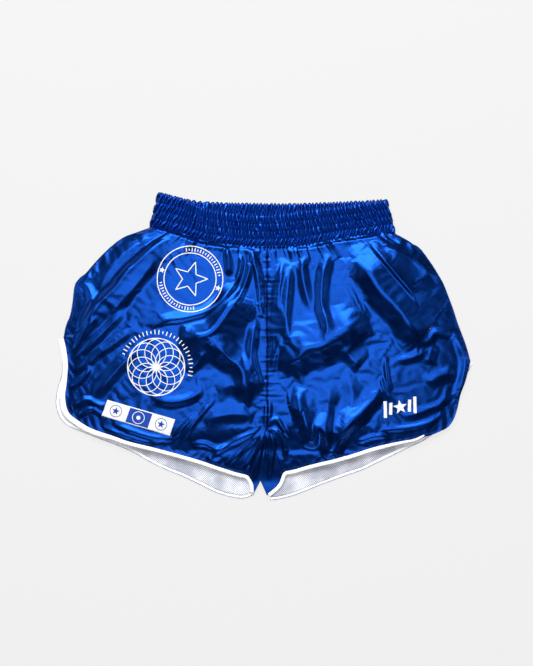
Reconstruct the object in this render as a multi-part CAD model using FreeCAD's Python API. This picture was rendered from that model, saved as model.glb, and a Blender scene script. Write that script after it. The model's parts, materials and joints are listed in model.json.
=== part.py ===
"""Boxing shorts lying on their back, front side up: satin leg panels with a loose lining, a gathered
elastic waistband, bound hems with side vents, a crotch gusset and sewn-on emblems.

Millimetres. +Y points to the waist, +Z away from the surface that the shorts lie on. The wearer's right
leg is on the -X side. The origin is at the centre of the footprint, on that surface.

The cloth is held as thin sheets: flat ones for the back, and for the front sheets that follow
front_height(), which is the puffed shape of the upper layer. Each half of the shorts is one body, and so
is the free corner of each front leg panel, so a panel that is one cloth may be two nodes here.
"""
import FreeCAD
import Part
import os

# Overall layout
SEAM_X = 6.0            # centre seam, which is also the fold line of the two halves
FOLD_Z = 18.4           # height of the fold line, just over everything near the seam
CUT_GAP = 0.4           # slit between two nodes of one cloth
LAYER_GAP = 0.3         # air between two sheets that lie on each other
TALL = 60.0             # taller than anything on the shorts

# Cloth
SATIN = 0.8
LINING = 0.5
PATCH = 0.5
BINDING_WIDTH = 6.0
BINDING_THICK = 2.4
EDGE_GAP = 0.3          # between a cloth's cut edge and the tape round it
ROLLED_THICK = 1.4      # the left vent's tape, folded flat under the satin
ROLLED_INSET = 1.6
LINING_INSET = 2.0

# Waistband
CASING_THICK = 4.4
CASING_WALL = 1.1
ELASTIC_THICK = 1.8
ELASTIC_INSET = 3.5
BAND_SIDE_Z = 9.6       # top of the front band where it meets the back band
BAND_CENTRE_Z = 18.0    # top of the front band at the seam

# Puffed height of the front: (distance along Y, height), at the seam and at the crown of each leg
SEAM_PROFILE = [(-225, 4.6), (-195, 5.0), (-150, 11.0), (-112, 17.0), (-60, 17.8), (190, 17.8)]
CROWN_PROFILE = [(-225, 8.0), (-160, 12.0), (-100, 18.0), (-20, 25.0), (60, 27.0), (110, 23.0), (190, 16.0)]
GUSSET_PROFILE = [(-222, 4.8), (-185, 6.2), (-150, 11.0), (-105, 16.8)]
FOLD_WALL = 2.2         # cloth along the gusset's folds, measured along Y
SIDE_Z = 4.4            # height of the satin along the side seams
WIDE_AT_Y = -30.0       # the shorts are widest here
TAPER_LENGTH = 300.0

# Outline points, hem points run from the top of the vent round the corner to the inner leg
BAND_TOP_FRONT = [(-146, 213), (-110, 203), (-80, 190), (-31, 183), (11, 183), (60, 188), (112, 195), (173, 203)]
BAND_LOW_FRONT = [(-157, 169), (-115, 158), (-80, 146), (-31, 141), (0, 139), (53, 141), (109, 151), (183, 161)]
BAND_TOP_BACK = [(-146, 215), (-109, 206), (-70, 202), (0, 198), (53, 199), (120, 202), (173, 204)]
BAND_LOW_BACK = [(-157, 169), (-90, 158), (0, 153), (90, 155), (183, 161)]
CROTCH_Y = -115
NOTCH = (-3, -188)

RIGHT = {
    "name": "right",
    "sign": -1,
    "half_width": 291.0,
    "side_seam": [(-157, 169), (-204, 146), (-256, 95), (-268, 45), (-279, 10)],
    "front_hem": [(-279, 10), (-274, -10), (-273, -39), (-276, -70), (-270, -96), (-252, -110), (-207, -123),
                  (-151, -140), (-87, -157), (-39, -173), (-21, -182)],
    "back_hem": [(-279, 10), (-275.5, -10), (-277, -40), (-284, -66), (-284, -92), (-272, -105), (-236, -119),
                 (-196, -134), (-140, -157), (-100, -179), (-62, -199), (-31, -207.5), (-17, -204)],
    "inner_front": (-21, -182),
    "tuck": (-14.5, -193),
    "tip": (-13, -206),
    "flap_end": (-39, -173),
}
LEFT = {
    "name": "left",
    "sign": 1,
    "half_width": 291.0,
    "side_seam": [(183, 161), (210, 146), (249, 95), (270, 45), (291, -21)],
    "front_hem": [(291, -21), (284, -48), (277, -73), (267, -103), (249, -119), (189, -132), (127, -148),
                  (62, -165), (29, -177)],
    "back_hem": [(291, -21), (275, -52), (266, -84), (250, -108), (222, -122), (177, -139), (124, -164),
                 (79, -183), (42, -200), (14, -208)],
    "inner_front": (29, -177),
    "tuck": (18.5, -195),
    "tip": (5, -208),
    "flap_end": (189, -132),
}
ROLLED_UNDER = 4        # hem points of the left front whose binding is rolled to the inside

ROUND_EMBLEM = {"at": (-105, 94), "radius": 46}
ROSETTE = {"at": (-157, -27), "radius": 41}
LABEL = {"at": (-178, -104), "long": 94, "high": 25, "turn": -16.2}
CORNER_EMBLEM = {"at": (193, -85), "long": 49, "high": 25, "turn": 8.0}
BAR_TACK = {"long": 10, "high": 2.5}

PAST_ALL = 3000         # a length that is past every edge
OFFSET_STEPS = 3        # points of an offset curve for each stretch of the curve it follows
CENTRE_SHIFT = (-2.1, -0.5)  # from the outline points above to the centred frame


def vector(point, z=0.0):
    return FreeCAD.Vector(point[0], point[1], z)


def between(profile, y):
    """Smooth value at y of a profile given as (y, value) knots."""
    for (y0, v0), (y1, v1) in zip(profile, profile[1:]):
        if y <= y1:
            t = max(0.0, (y - y0) / (y1 - y0))
            return v0 + (v1 - v0) * t * t * (3 - 2 * t)
    return profile[-1][1]


def front_height(side, x, y):
    """Top of the front satin: low at the side seam, highest over the leg, level along the centre seam."""
    half_width = side["half_width"] * (1 - (abs(y - WIDE_AT_Y) / TAPER_LENGTH) ** 2.5)
    reach = half_width - side["sign"] * SEAM_X
    share = min(1.0, abs(x - SEAM_X) / reach)
    rise = between(CROWN_PROFILE, y) - SIDE_Z
    seam_share = (between(SEAM_PROFILE, y) - SIDE_Z) / rise
    return SIDE_Z + rise * (1 - share * share) * (seam_share + share)


def wire(*runs):
    """Closed plan outline from runs of points: two points make a line, more make a smooth curve."""
    edges = []
    for run in runs:
        if len(run) == 2:
            edges.append(Part.makeLine(vector(run[0]), vector(run[1])))
        else:
            curve = Part.BSplineCurve()
            curve.interpolate([vector(p) for p in run])
            edges.append(curve.toShape())
    return Part.Wire(Part.__sortEdges__(edges))


def prism(outline, low=-5.0, high=TALL):
    """The outline's face, extruded from low to high."""
    face = Part.Face(outline)
    face.translate(FreeCAD.Vector(0, 0, low))
    return face.extrude(FreeCAD.Vector(0, 0, high - low))


def front_sheet(side, top, thick):
    """Sheet that follows the front's height, its upper face at the height top above it."""
    outer = side["sign"] * 305.0
    columns, rows = 12, 16
    grid = []
    for i in range(columns):
        x = SEAM_X + (outer - SEAM_X) * i / (columns - 1)
        grid.append([])
        for j in range(rows):
            y = -225.0 + 415.0 * j / (rows - 1)
            grid[-1].append(FreeCAD.Vector(x, y, front_height(side, x, y) + top - thick))
    surface = Part.BSplineSurface()
    surface.interpolate(grid)
    return surface.toShape().extrude(FreeCAD.Vector(0, 0, thick))


def offset_points(points, distance):
    """Points beside the smooth curve through a run of points, to the left of the direction it runs in."""
    curve = Part.BSplineCurve()
    curve.interpolate([vector(p) for p in points])
    steps = OFFSET_STEPS * (len(points) - 1)
    first, last = curve.FirstParameter, curve.LastParameter
    moved = []
    for i in range(steps + 1):
        u = first + (last - first) * i / steps
        at, along = curve.value(u), curve.tangent(u)[0]
        moved.append((at.x - along.y * distance, at.y + along.x * distance))
    return moved


def strip(points, inner, outer):
    """Plan prism of the band between two offsets of a run of points."""
    near, far = offset_points(points, inner), offset_points(points, outer)
    return prism(wire(near, [near[-1], far[-1]], far[::-1], [far[0], near[0]]))


def outward(side):
    """Sign of the offset that leads off the cloth, for hem points that run from the vent inwards."""
    return side["sign"]


def centre_side(side):
    """Where this half ends at the centre seam, with half of the slit."""
    return SEAM_X + side["sign"] * CUT_GAP / 2


def front_outline(side):
    """Plan of one front leg panel: band seam, side seam, hem, gusset seam, centre seam."""
    seam = centre_side(side)
    low = [p for p in BAND_LOW_FRONT if (p[0] - SEAM_X) * side["sign"] > 5]
    low = sorted(low, key=lambda p: abs(p[0]))
    low = [(seam, 138.6)] + [(x, y - CUT_GAP) for x, y in low]
    side_seam = [low[-1]] + side["side_seam"][1:]
    crotch = (seam, CROTCH_Y)
    return wire(low, side_seam, side["front_hem"], [side["inner_front"], crotch], [crotch, low[0]])


def back_outline(side):
    """Plan of one back leg panel."""
    seam = centre_side(side)
    low = [p for p in BAND_LOW_BACK if (p[0] - SEAM_X) * side["sign"] > 10]
    low = sorted(low, key=lambda p: abs(p[0]))
    low = [(seam, 152.6)] + [(x, y - CUT_GAP) for x, y in low]
    side_seam = [low[-1]] + side["side_seam"][1:]
    crotch = (seam, CROTCH_Y)
    inner = side["inner_front"]
    hem_end = side["back_hem"][-1]
    return wire(low, side_seam, side["back_hem"], [hem_end, inner], [inner, crotch], [crotch, low[0]])


def half_plane(side, flap, gap=CUT_GAP / 2):
    """Prism of everything on the flap's side of its fold line, or on the panel's side."""
    start, end = side["front_hem"][0], side["flap_end"]
    along = FreeCAD.Vector(end[0] - start[0], end[1] - start[1], 0).normalize()
    across = FreeCAD.Vector(-along.y, along.x, 0) * outward(side)
    if not flap:
        across = across * -1
    a = vector(start) - along * PAST_ALL + across * gap
    b = vector(end) + along * PAST_ALL + across * gap
    corners = [a, b, b + across * PAST_ALL, a + across * PAST_ALL, a]
    return prism(Part.makePolygon(corners))


def rectangle(spec, low=-5.0, high=TALL):
    """Prism of a turned rectangle in plan."""
    box = Part.makeBox(spec["long"], spec["high"], high - low)
    box.translate(FreeCAD.Vector(-spec["long"] / 2, -spec["high"] / 2, low))
    box.rotate(FreeCAD.Vector(), FreeCAD.Vector(0, 0, 1), spec["turn"])
    box.translate(vector(spec["at"]))
    return box


def disc(spec):
    return Part.makeCylinder(spec["radius"], TALL + 5, vector(spec["at"], -5.0))


def front_panels(side):
    """Satin and lining of one front leg, each cut along the fold line of its free corner."""
    parts = {}
    outline = prism(front_outline(side))
    satin = front_sheet(side, 0.0, SATIN).common(outline)
    lining = front_sheet(side, -SATIN - LAYER_GAP, LINING).common(outline)
    hem = strip(side["front_hem"], 0.5 * outward(side), -LINING_INSET * outward(side))
    lining = lining.cut(hem)
    if side is LEFT:
        lining = lining.cut(rolled_strip(side, 0.0, -ROLLED_INSET - BINDING_WIDTH - 0.4))
    for cloth, solid in (("panel", satin), ("lining", lining)):
        parts[f"front_{cloth}_{side['name']}"] = solid.common(half_plane(side, False))
        parts[f"front_{cloth}_corner_{side['name']}"] = solid.common(half_plane(side, True))
    return parts


def rolled_strip(side, inner, outer):
    """Plan prism beside the vent edge of the leg whose binding is rolled to the inside."""
    end_y = side["front_hem"][ROLLED_UNDER][1]
    above = Part.makeBox(PAST_ALL, 200, 200, FreeCAD.Vector(0, end_y, -100))
    return strip(side["front_hem"], inner * outward(side), outer * outward(side)).common(above)


def front_binding(side):
    """Binding on the front hem, outside the satin's edge, or under it where it is rolled in."""
    parts = {}
    out = outward(side)
    tape = front_sheet(side, 0.4, BINDING_THICK)
    edge = tape.common(strip(side["front_hem"], EDGE_GAP * out, (EDGE_GAP + BINDING_WIDTH) * out))
    pieces = [edge.common(half_plane(side, True))]
    if side is LEFT:
        under = front_sheet(side, -SATIN - LAYER_GAP, ROLLED_THICK)
        under = under.common(rolled_strip(side, -ROLLED_INSET, -ROLLED_INSET - BINDING_WIDTH))
        pieces.append(under.common(half_plane(side, True)))
        end_x, end_y = side["front_hem"][ROLLED_UNDER]
        rolled_area = Part.makeBox(60, 120, TALL + 10, FreeCAD.Vector(end_x - BINDING_WIDTH, end_y, -10))
        pieces[0] = pieces[0].cut(rolled_area)
    parts[f"front_binding_corner_{side['name']}"] = Part.makeCompound(solids(pieces))
    parts[f"front_binding_{side['name']}"] = edge.common(half_plane(side, False))
    return parts


def back_panels(side):
    """Flat satin and lining of one back leg, and the binding round its hem."""
    name, out = side["name"], outward(side)
    outline = back_outline(side)
    hem = side["back_hem"]
    satin = prism(outline, 0, SATIN)
    low = SATIN + LAYER_GAP
    inset = strip(hem, 0.5 * out, -LINING_INSET * out)
    lining = prism(outline, low, low + LINING).cut(inset)
    edge = strip(hem, EDGE_GAP * out, (EDGE_GAP + BINDING_WIDTH) * out)
    binding = Part.makeBox(1000, 1000, low + LINING, FreeCAD.Vector(-500, -500, 0)).common(edge)
    return {
        f"back_panel_{name}": satin,
        f"back_lining_{name}": lining,
        f"back_binding_{name}": binding,
    }


def band_arc_sheet(top, thick):
    """Sheet across the whole front band, arched from one side seam to the other."""
    left, right = BAND_LOW_FRONT[0][0] - 3, BAND_LOW_FRONT[-1][0] + 3
    drop = top - thick
    arc = Part.Arc(
        FreeCAD.Vector(left, 120, BAND_SIDE_Z + drop),
        FreeCAD.Vector(SEAM_X, 120, BAND_CENTRE_Z + drop),
        FreeCAD.Vector(right, 120, BAND_SIDE_Z + drop),
    ).toShape()
    return arc.extrude(FreeCAD.Vector(0, 110, 0)).extrude(FreeCAD.Vector(0, 0, thick))


def band_outline(top, low, inset):
    """Plan of a whole band between its upper and lower edge, drawn in by inset."""
    upper = [(x, y - inset) for x, y in top]
    lower = [(x, y + inset) for x, y in low]
    if inset:
        upper[0], lower[0] = (upper[0][0] + inset, upper[0][1]), (lower[0][0] + inset, lower[0][1])
        upper[-1], lower[-1] = (upper[-1][0] - inset, upper[-1][1]), (lower[-1][0] - inset, lower[-1][1])
    return prism(wire(upper, [upper[-1], lower[-1]], lower[::-1], [lower[0], upper[0]]))


def half_space(side):
    """Box on this half's side of the centre slit."""
    x = centre_side(side) if side["sign"] > 0 else centre_side(side) - PAST_ALL
    return Part.makeBox(PAST_ALL, 1000, TALL + 10, FreeCAD.Vector(x, -500, -5))


def waistband(side):
    """Quarter casings of the band, hollow, with the flat elastic inside each."""
    parts = {}
    cavity_gap = (CASING_THICK - 2 * CASING_WALL - ELASTIC_THICK) / 2
    layers = {
        "front": (band_arc_sheet, BAND_TOP_FRONT, BAND_LOW_FRONT),
        "back": (flat_sheet, BAND_TOP_BACK, BAND_LOW_BACK),
    }
    for place, (sheet, top, low) in layers.items():
        casing = sheet(0.0, CASING_THICK).common(band_outline(top, low, 0))
        cavity = sheet(-CASING_WALL, CASING_THICK - 2 * CASING_WALL).common(band_outline(top, low, 3.0))
        elastic = sheet(-CASING_WALL - cavity_gap, ELASTIC_THICK).common(band_outline(top, low, ELASTIC_INSET))
        half = half_space(side)
        parts[f"waistband_{place}_{side['name']}"] = casing.cut(cavity).common(half)
        parts[f"waist_elastic_{place}_{side['name']}"] = elastic.common(half)
    return parts


def flat_sheet(top, thick):
    """Sheet across the whole back band, lying flat on the surface."""
    return Part.makeBox(400, 110, thick, FreeCAD.Vector(-190, 120, CASING_THICK + top - thick))


def below_gusset_top(drop):
    """Solid of everything under the gusset's upper leaf, lowered by drop."""
    points = [FreeCAD.Vector(-100, y, z - drop) for y, z in GUSSET_PROFILE]
    curve = Part.BSplineCurve()
    curve.interpolate(points)
    low = [FreeCAD.Vector(-100, p.y, -1) for p in (points[-1], points[0])]
    sides = Part.makePolygon([points[-1], low[0], low[1], points[0]])
    outline = Part.Wire(Part.__sortEdges__([curve.toShape()] + sides.Edges))
    return Part.Face(outline).extrude(FreeCAD.Vector(200, 0, 0))


def gusset():
    """Crotch gusset, one cloth folded between the legs: an upper leaf, a lower leaf and the two folds."""
    right, left = RIGHT["inner_front"], LEFT["inner_front"]
    top = (SEAM_X, CROTCH_Y - 1.5)
    right_end = (right[0] + 0.6, right[1] - 0.2)
    left_end = (left[0] - 0.6, left[1] - 0.2)
    plan = wire([top, right_end], [right_end, RIGHT["tuck"], RIGHT["tip"]], [RIGHT["tip"], NOTCH],
                [NOTCH, LEFT["tip"]], [LEFT["tip"], LEFT["tuck"], left_end], [left_end, top])
    legs = [(-60, -100)]
    for tip in (RIGHT["tip"], LEFT["tip"]):
        legs.append((2 * tip[0] - NOTCH[0], 2 * tip[1] - NOTCH[1]))
    legs = [legs[0], legs[1], NOTCH, legs[2], (60, -100), legs[0]]
    inside = Part.makePolygon([vector((x, y + FOLD_WALL)) for x, y in legs])
    cavity = prism(inside, SATIN, TALL).common(below_gusset_top(SATIN))
    return prism(plan, 0, TALL).common(below_gusset_top(0)).cut(cavity)


def patch_on(side, plan, thick=PATCH):
    """Thin sewn piece on the front satin, a hair above it."""
    return front_sheet(side, LAYER_GAP + thick, thick).common(plan)


def emblems():
    """Sewn-on emblems and the woven label."""
    return {
        "round_emblem": patch_on(RIGHT, disc(ROUND_EMBLEM)),
        "rosette_emblem": patch_on(RIGHT, disc(ROSETTE)),
        "woven_label": patch_on(RIGHT, rectangle(LABEL)),
        "corner_emblem": patch_on(LEFT, rectangle(CORNER_EMBLEM)),
    }


def bar_tack(side):
    """Dense stitching that closes the side seam at the top of the vent."""
    x, y = side["front_hem"][0]
    spec = dict(BAR_TACK, at=(x - side["sign"] * 7.0, y + 4.0), turn=0.0)
    return patch_on(side, rectangle(spec))


def solids(shapes):
    """Every solid of some shapes."""
    return [solid for shape in shapes for solid in shape.Solids]


def all_parts():
    parts = {}
    for side in (RIGHT, LEFT):
        parts.update(front_panels(side))
        parts.update(front_binding(side))
        parts.update(back_panels(side))
        parts.update(waistband(side))
        parts[f"bar_tack_{side['name']}"] = bar_tack(side)
    parts["crotch_gusset"] = gusset()
    parts.update(emblems())
    return parts


def main():
    os.makedirs("parts", exist_ok=True)
    for name, shape in all_parts().items():
        bodies = solids([shape])
        box = shape.BoundBox
        print(f"{name:32s} solids {len(bodies)} valid {shape.isValid()} volume {shape.Volume:9.1f} "
              f"x {box.XMin:7.1f} {box.XMax:7.1f} y {box.YMin:7.1f} {box.YMax:7.1f} z {box.ZMin:5.1f} {box.ZMax:5.1f}")
        result = bodies[0] if len(bodies) == 1 else Part.makeCompound(bodies)
        result.translate(vector(CENTRE_SHIFT))
        result.exportStep(f"parts/{name}.step")


main()
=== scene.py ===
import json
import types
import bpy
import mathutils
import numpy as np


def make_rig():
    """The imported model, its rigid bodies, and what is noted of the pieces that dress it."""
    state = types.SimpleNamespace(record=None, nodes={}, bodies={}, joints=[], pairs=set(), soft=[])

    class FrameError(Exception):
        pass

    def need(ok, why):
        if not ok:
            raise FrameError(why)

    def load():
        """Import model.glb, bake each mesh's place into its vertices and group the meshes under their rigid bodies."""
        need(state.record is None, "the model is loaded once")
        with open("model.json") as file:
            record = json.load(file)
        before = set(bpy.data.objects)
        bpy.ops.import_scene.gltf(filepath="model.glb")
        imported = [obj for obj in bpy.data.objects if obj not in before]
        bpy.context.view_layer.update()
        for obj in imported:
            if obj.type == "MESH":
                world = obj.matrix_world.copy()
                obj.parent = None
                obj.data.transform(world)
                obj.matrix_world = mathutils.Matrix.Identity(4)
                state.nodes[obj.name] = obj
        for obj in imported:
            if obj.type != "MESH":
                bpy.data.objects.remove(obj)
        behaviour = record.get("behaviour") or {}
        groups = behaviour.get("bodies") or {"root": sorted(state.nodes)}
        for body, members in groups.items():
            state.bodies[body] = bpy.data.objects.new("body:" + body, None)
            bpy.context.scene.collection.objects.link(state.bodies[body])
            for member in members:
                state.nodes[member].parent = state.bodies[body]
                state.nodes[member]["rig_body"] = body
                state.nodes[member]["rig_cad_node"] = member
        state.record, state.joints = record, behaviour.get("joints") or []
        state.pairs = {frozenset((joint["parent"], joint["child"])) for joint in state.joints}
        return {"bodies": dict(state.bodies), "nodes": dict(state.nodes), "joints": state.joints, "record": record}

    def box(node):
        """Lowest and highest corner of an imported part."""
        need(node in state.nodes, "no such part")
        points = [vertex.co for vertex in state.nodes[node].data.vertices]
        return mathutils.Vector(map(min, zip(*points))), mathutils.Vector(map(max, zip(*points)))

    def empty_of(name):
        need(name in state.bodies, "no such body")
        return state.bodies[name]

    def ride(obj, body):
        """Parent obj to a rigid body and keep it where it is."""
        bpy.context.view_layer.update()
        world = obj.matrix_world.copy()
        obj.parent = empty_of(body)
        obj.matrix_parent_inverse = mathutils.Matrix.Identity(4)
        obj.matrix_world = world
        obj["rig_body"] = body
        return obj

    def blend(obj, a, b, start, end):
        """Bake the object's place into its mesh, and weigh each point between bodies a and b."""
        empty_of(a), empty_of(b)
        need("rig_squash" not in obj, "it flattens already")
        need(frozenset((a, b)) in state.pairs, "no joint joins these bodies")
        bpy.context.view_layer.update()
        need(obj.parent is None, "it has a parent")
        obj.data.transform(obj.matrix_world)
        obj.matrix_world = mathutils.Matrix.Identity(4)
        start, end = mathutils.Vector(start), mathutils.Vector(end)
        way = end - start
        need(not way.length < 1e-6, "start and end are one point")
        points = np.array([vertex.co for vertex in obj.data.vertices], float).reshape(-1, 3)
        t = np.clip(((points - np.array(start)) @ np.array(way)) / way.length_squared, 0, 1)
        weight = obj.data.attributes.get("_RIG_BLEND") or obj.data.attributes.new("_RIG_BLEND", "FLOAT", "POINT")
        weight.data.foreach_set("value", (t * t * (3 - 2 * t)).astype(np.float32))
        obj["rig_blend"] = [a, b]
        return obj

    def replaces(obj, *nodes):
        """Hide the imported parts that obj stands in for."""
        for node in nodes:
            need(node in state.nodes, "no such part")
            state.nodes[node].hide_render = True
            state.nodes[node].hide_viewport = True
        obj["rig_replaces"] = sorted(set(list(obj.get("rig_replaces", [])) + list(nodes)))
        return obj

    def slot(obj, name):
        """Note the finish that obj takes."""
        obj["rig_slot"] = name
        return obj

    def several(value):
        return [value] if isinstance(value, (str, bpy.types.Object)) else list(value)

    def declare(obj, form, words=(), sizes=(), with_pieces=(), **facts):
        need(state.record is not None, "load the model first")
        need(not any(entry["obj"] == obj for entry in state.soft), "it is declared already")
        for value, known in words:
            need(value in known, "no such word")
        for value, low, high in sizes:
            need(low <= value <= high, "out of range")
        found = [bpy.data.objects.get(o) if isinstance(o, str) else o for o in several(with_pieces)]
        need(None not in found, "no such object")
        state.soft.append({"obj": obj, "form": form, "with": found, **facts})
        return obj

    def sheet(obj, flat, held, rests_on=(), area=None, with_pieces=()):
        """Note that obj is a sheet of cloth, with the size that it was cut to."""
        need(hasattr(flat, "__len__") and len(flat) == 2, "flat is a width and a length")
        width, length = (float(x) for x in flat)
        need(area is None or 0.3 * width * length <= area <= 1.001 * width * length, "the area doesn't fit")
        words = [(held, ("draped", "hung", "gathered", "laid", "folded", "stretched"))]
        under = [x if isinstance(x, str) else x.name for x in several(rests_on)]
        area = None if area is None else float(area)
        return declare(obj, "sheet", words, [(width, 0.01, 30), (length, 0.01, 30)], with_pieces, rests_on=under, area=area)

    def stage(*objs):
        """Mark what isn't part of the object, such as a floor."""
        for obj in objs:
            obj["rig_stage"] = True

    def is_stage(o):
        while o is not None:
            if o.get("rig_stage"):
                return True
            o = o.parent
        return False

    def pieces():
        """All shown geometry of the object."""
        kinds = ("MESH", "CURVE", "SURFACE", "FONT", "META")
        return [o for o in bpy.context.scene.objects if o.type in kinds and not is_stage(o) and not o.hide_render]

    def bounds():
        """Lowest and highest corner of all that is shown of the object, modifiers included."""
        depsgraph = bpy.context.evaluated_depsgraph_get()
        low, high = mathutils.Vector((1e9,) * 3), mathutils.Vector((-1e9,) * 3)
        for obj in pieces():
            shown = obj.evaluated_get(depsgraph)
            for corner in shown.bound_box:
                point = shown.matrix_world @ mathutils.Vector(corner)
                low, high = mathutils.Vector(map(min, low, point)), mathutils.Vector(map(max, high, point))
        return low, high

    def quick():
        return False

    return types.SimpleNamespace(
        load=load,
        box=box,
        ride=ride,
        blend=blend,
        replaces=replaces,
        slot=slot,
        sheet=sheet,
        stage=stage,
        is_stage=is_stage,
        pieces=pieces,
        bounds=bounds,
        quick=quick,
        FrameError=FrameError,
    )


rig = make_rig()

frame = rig.load()

import json
import math

import bmesh
import bpy
import numpy as np
from mathutils import Vector
from mathutils.bvhtree import BVHTree

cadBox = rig.bounds()
mm = 0.001
print("frame loaded:", len(frame["nodes"]), "nodes")

# cutting plan, in millimetres: where the seams and hems lie on the table

seamX = 3.9            # centre seam and fold line
crotch = (3.9, -115.5)

plan = {
    "bandTopFront": [(-148, 212), (-129, 208), (-112, 203), (-82, 190), (-33, 182), (9, 181), (58, 187),
                     (110, 193), (171, 202)],
    "bandLowFront": [(-159, 168), (-117, 158), (-82, 146), (-33, 140), (-2, 138), (51, 140), (107, 150),
                     (181, 160)],
    "bandTopBack": [(-148, 214), (-130, 209), (-111, 204), (-72, 200), (-2, 198), (51, 198), (118, 201),
                    (171, 204)],
    "bandLowBack": [(-159, 168), (-92, 158), (-2, 152), (88, 154), (181, 160)],
}
rightLeg = {           # the wearer's right leg, on the -X side
    "name": "right",
    "sign": -1,
    "sideSeam": [(-159, 168), (-176, 161), (-198, 152), (-217, 137), (-235, 119), (-250, 102), (-260, 94),
                 (-266, 84), (-269, 61), (-272, 44), (-278, 27), (-281, 10)],
    "frontHem": [(-281, 10), (-277, -8), (-275, -28), (-277, -54), (-279, -72), (-275, -92), (-262, -104),
                 (-242, -115), (-211, -124), (-188, -132), (-155, -140), (-121, -149), (-90, -158),
                 (-67, -166), (-43, -174), (-23, -182)],
    "backHem": [(-281, 10), (-279, -10), (-279, -38), (-286, -64), (-287, -86), (-276, -106),
                (-243, -121), (-204, -136), (-181, -146), (-158, -159), (-135, -170), (-113, -179),
                (-90, -190), (-62, -203), (-33, -209.5), (-17, -205)],
    "inner": (-23, -182),
    "hemStart": 6,     # this hem point starts the lower edge, those before it belong to the vent
}
leftLeg = {
    "name": "left",
    "sign": 1,
    "sideSeam": [(181, 160), (195, 152), (207, 144), (218, 136), (231, 119), (242, 102), (251, 86),
                 (258, 68), (264, 52), (271, 31), (281, 4), (288, -22)],
    "frontHem": [(288, -22), (284, -38), (280, -52), (274, -68), (269, -90), (262, -107), (252, -116),
                 (232, -124), (186, -132), (151, -140), (123, -149), (94, -157), (58, -166), (31, -175),
                 (26, -179)],
    "backHem": [(288, -22), (273, -52), (264, -84), (251, -106), (224, -127), (202, -138), (179, -149),
                (157, -159.5), (135, -170), (112, -178), (79, -190), (44, -204), (22, -210), (8, -212)],
    "inner": (26, -179),
    "hemStart": 6,
}
tails = {"rightTuck": (-16.6, -193.5), "rightTip": (-15, -206.5), "notch": (-5.5, -188),
         "leftTip": (3.5, -208.5), "leftTuck": (19, -195)}

clothGrowth = 0.0085     # the cloth's edges lie this share outside the pattern lines
planMiddle = np.array((2.8, 17.7))


def grownPoint(p, growth=clothGrowth):
    return tuple(planMiddle + (np.array(p) - planMiddle) * (1 + growth))


for leg in (rightLeg, leftLeg):
    for line in ("sideSeam", "frontHem", "backHem"):
        grown = [clothGrowth * min(1, i / 3 if line == "sideSeam" else 1) for i in range(len(leg[line]))]
        leg[line] = [grownPoint(p, g) for p, g in zip(leg[line], grown)]
    leg["inner"] = leg["frontHem"][-1]
tails = {name: grownPoint(p) for name, p in tails.items()}

# small helpers

def smoothPath(points, count):
    p = np.array(points, float)
    q = np.vstack([2 * p[0] - p[1], p, 2 * p[-1] - p[-2]])
    t = np.linspace(0, 1, 20, endpoint=False)[:, None]
    runs = []
    for i in range(1, len(q) - 2):
        a, b, c, d = q[i - 1:i + 3]
        bend, twist = 2 * a - 5 * b + 4 * c - d, 3 * b - a - 3 * c + d
        runs.append(0.5 * (2 * b + (c - a) * t + bend * t ** 2 + twist * t ** 3))
    return evenly(np.vstack(runs + [p[-1:]]), count)


def lengthAlong(line):
    return np.concatenate([[0], np.cumsum(np.linalg.norm(np.diff(line, axis=0), axis=1))])


def evenly(line, count):
    line = np.asarray(line, float)
    length = lengthAlong(line)
    at = np.linspace(0, length[-1], count)
    return np.stack([np.interp(at, length, line[:, i]) for i in range(line.shape[1])], 1)


def eased(t):
    t = np.clip(t, 0, 1)
    return t * t * (3 - 2 * t)


def knots(profile, y):
    at, value = zip(*profile)
    i = np.clip(np.searchsorted(at, y) - 1, 0, len(at) - 2)
    at, value = np.array(at, float), np.array(value, float)
    t = eased((y - at[i]) / (at[i + 1] - at[i]))
    return value[i] + (value[i + 1] - value[i]) * t


def rippleLine(seed, count=512):
    return np.random.default_rng(seed).uniform(-1, 1, count)


def ripple(table, s):
    i = np.floor(s).astype(int)
    t = eased(s - i)
    return table[i % len(table)] * (1 - t) + table[(i + 1) % len(table)] * t


def unevenness(seed, x, y, size):
    rng = np.random.default_rng(seed)
    table = rng.uniform(-1, 1, (64, 64))
    gx, gy = x / size + 31, y / size + 31
    i, j = np.floor(gx).astype(int), np.floor(gy).astype(int)
    tx, ty = eased(gx - i), eased(gy - j)
    a = table[i % 64, j % 64] * (1 - tx) + table[(i + 1) % 64, j % 64] * tx
    b = table[i % 64, (j + 1) % 64] * (1 - tx) + table[(i + 1) % 64, (j + 1) % 64] * tx
    return a * (1 - ty) + b * ty


def gridObject(name, rows, material, closed=False, uv=None):
    rows = np.asarray(rows, float)
    n, m = rows.shape[:2]
    i, j = np.meshgrid(np.arange(n - 1), np.arange(m if closed else m - 1), indexing="ij")
    k = (j + 1) % m
    faces = np.stack([i * m + j, i * m + k, (i + 1) * m + k, (i + 1) * m + j], -1).reshape(-1, 4)
    mesh = bpy.data.meshes.new(name)
    mesh.from_pydata((rows.reshape(-1, 3) * mm).tolist(), [], faces.tolist())
    mesh.polygons.foreach_set("use_smooth", [True] * len(mesh.polygons))
    if uv is not None:
        layer = mesh.uv_layers.new(name="cloth")
        corner = np.zeros(len(mesh.loops), int)
        mesh.loops.foreach_get("vertex_index", corner)
        layer.data.foreach_set("uv", np.asarray(uv, float).reshape(-1, 2)[corner].ravel() * mm)
    piece = bpy.data.objects.new(name, mesh)
    scene.collection.objects.link(piece)
    mesh.materials.append(material)
    return piece


scene = bpy.context.scene

# how the front lies: puffed body, folds and gathers

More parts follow.
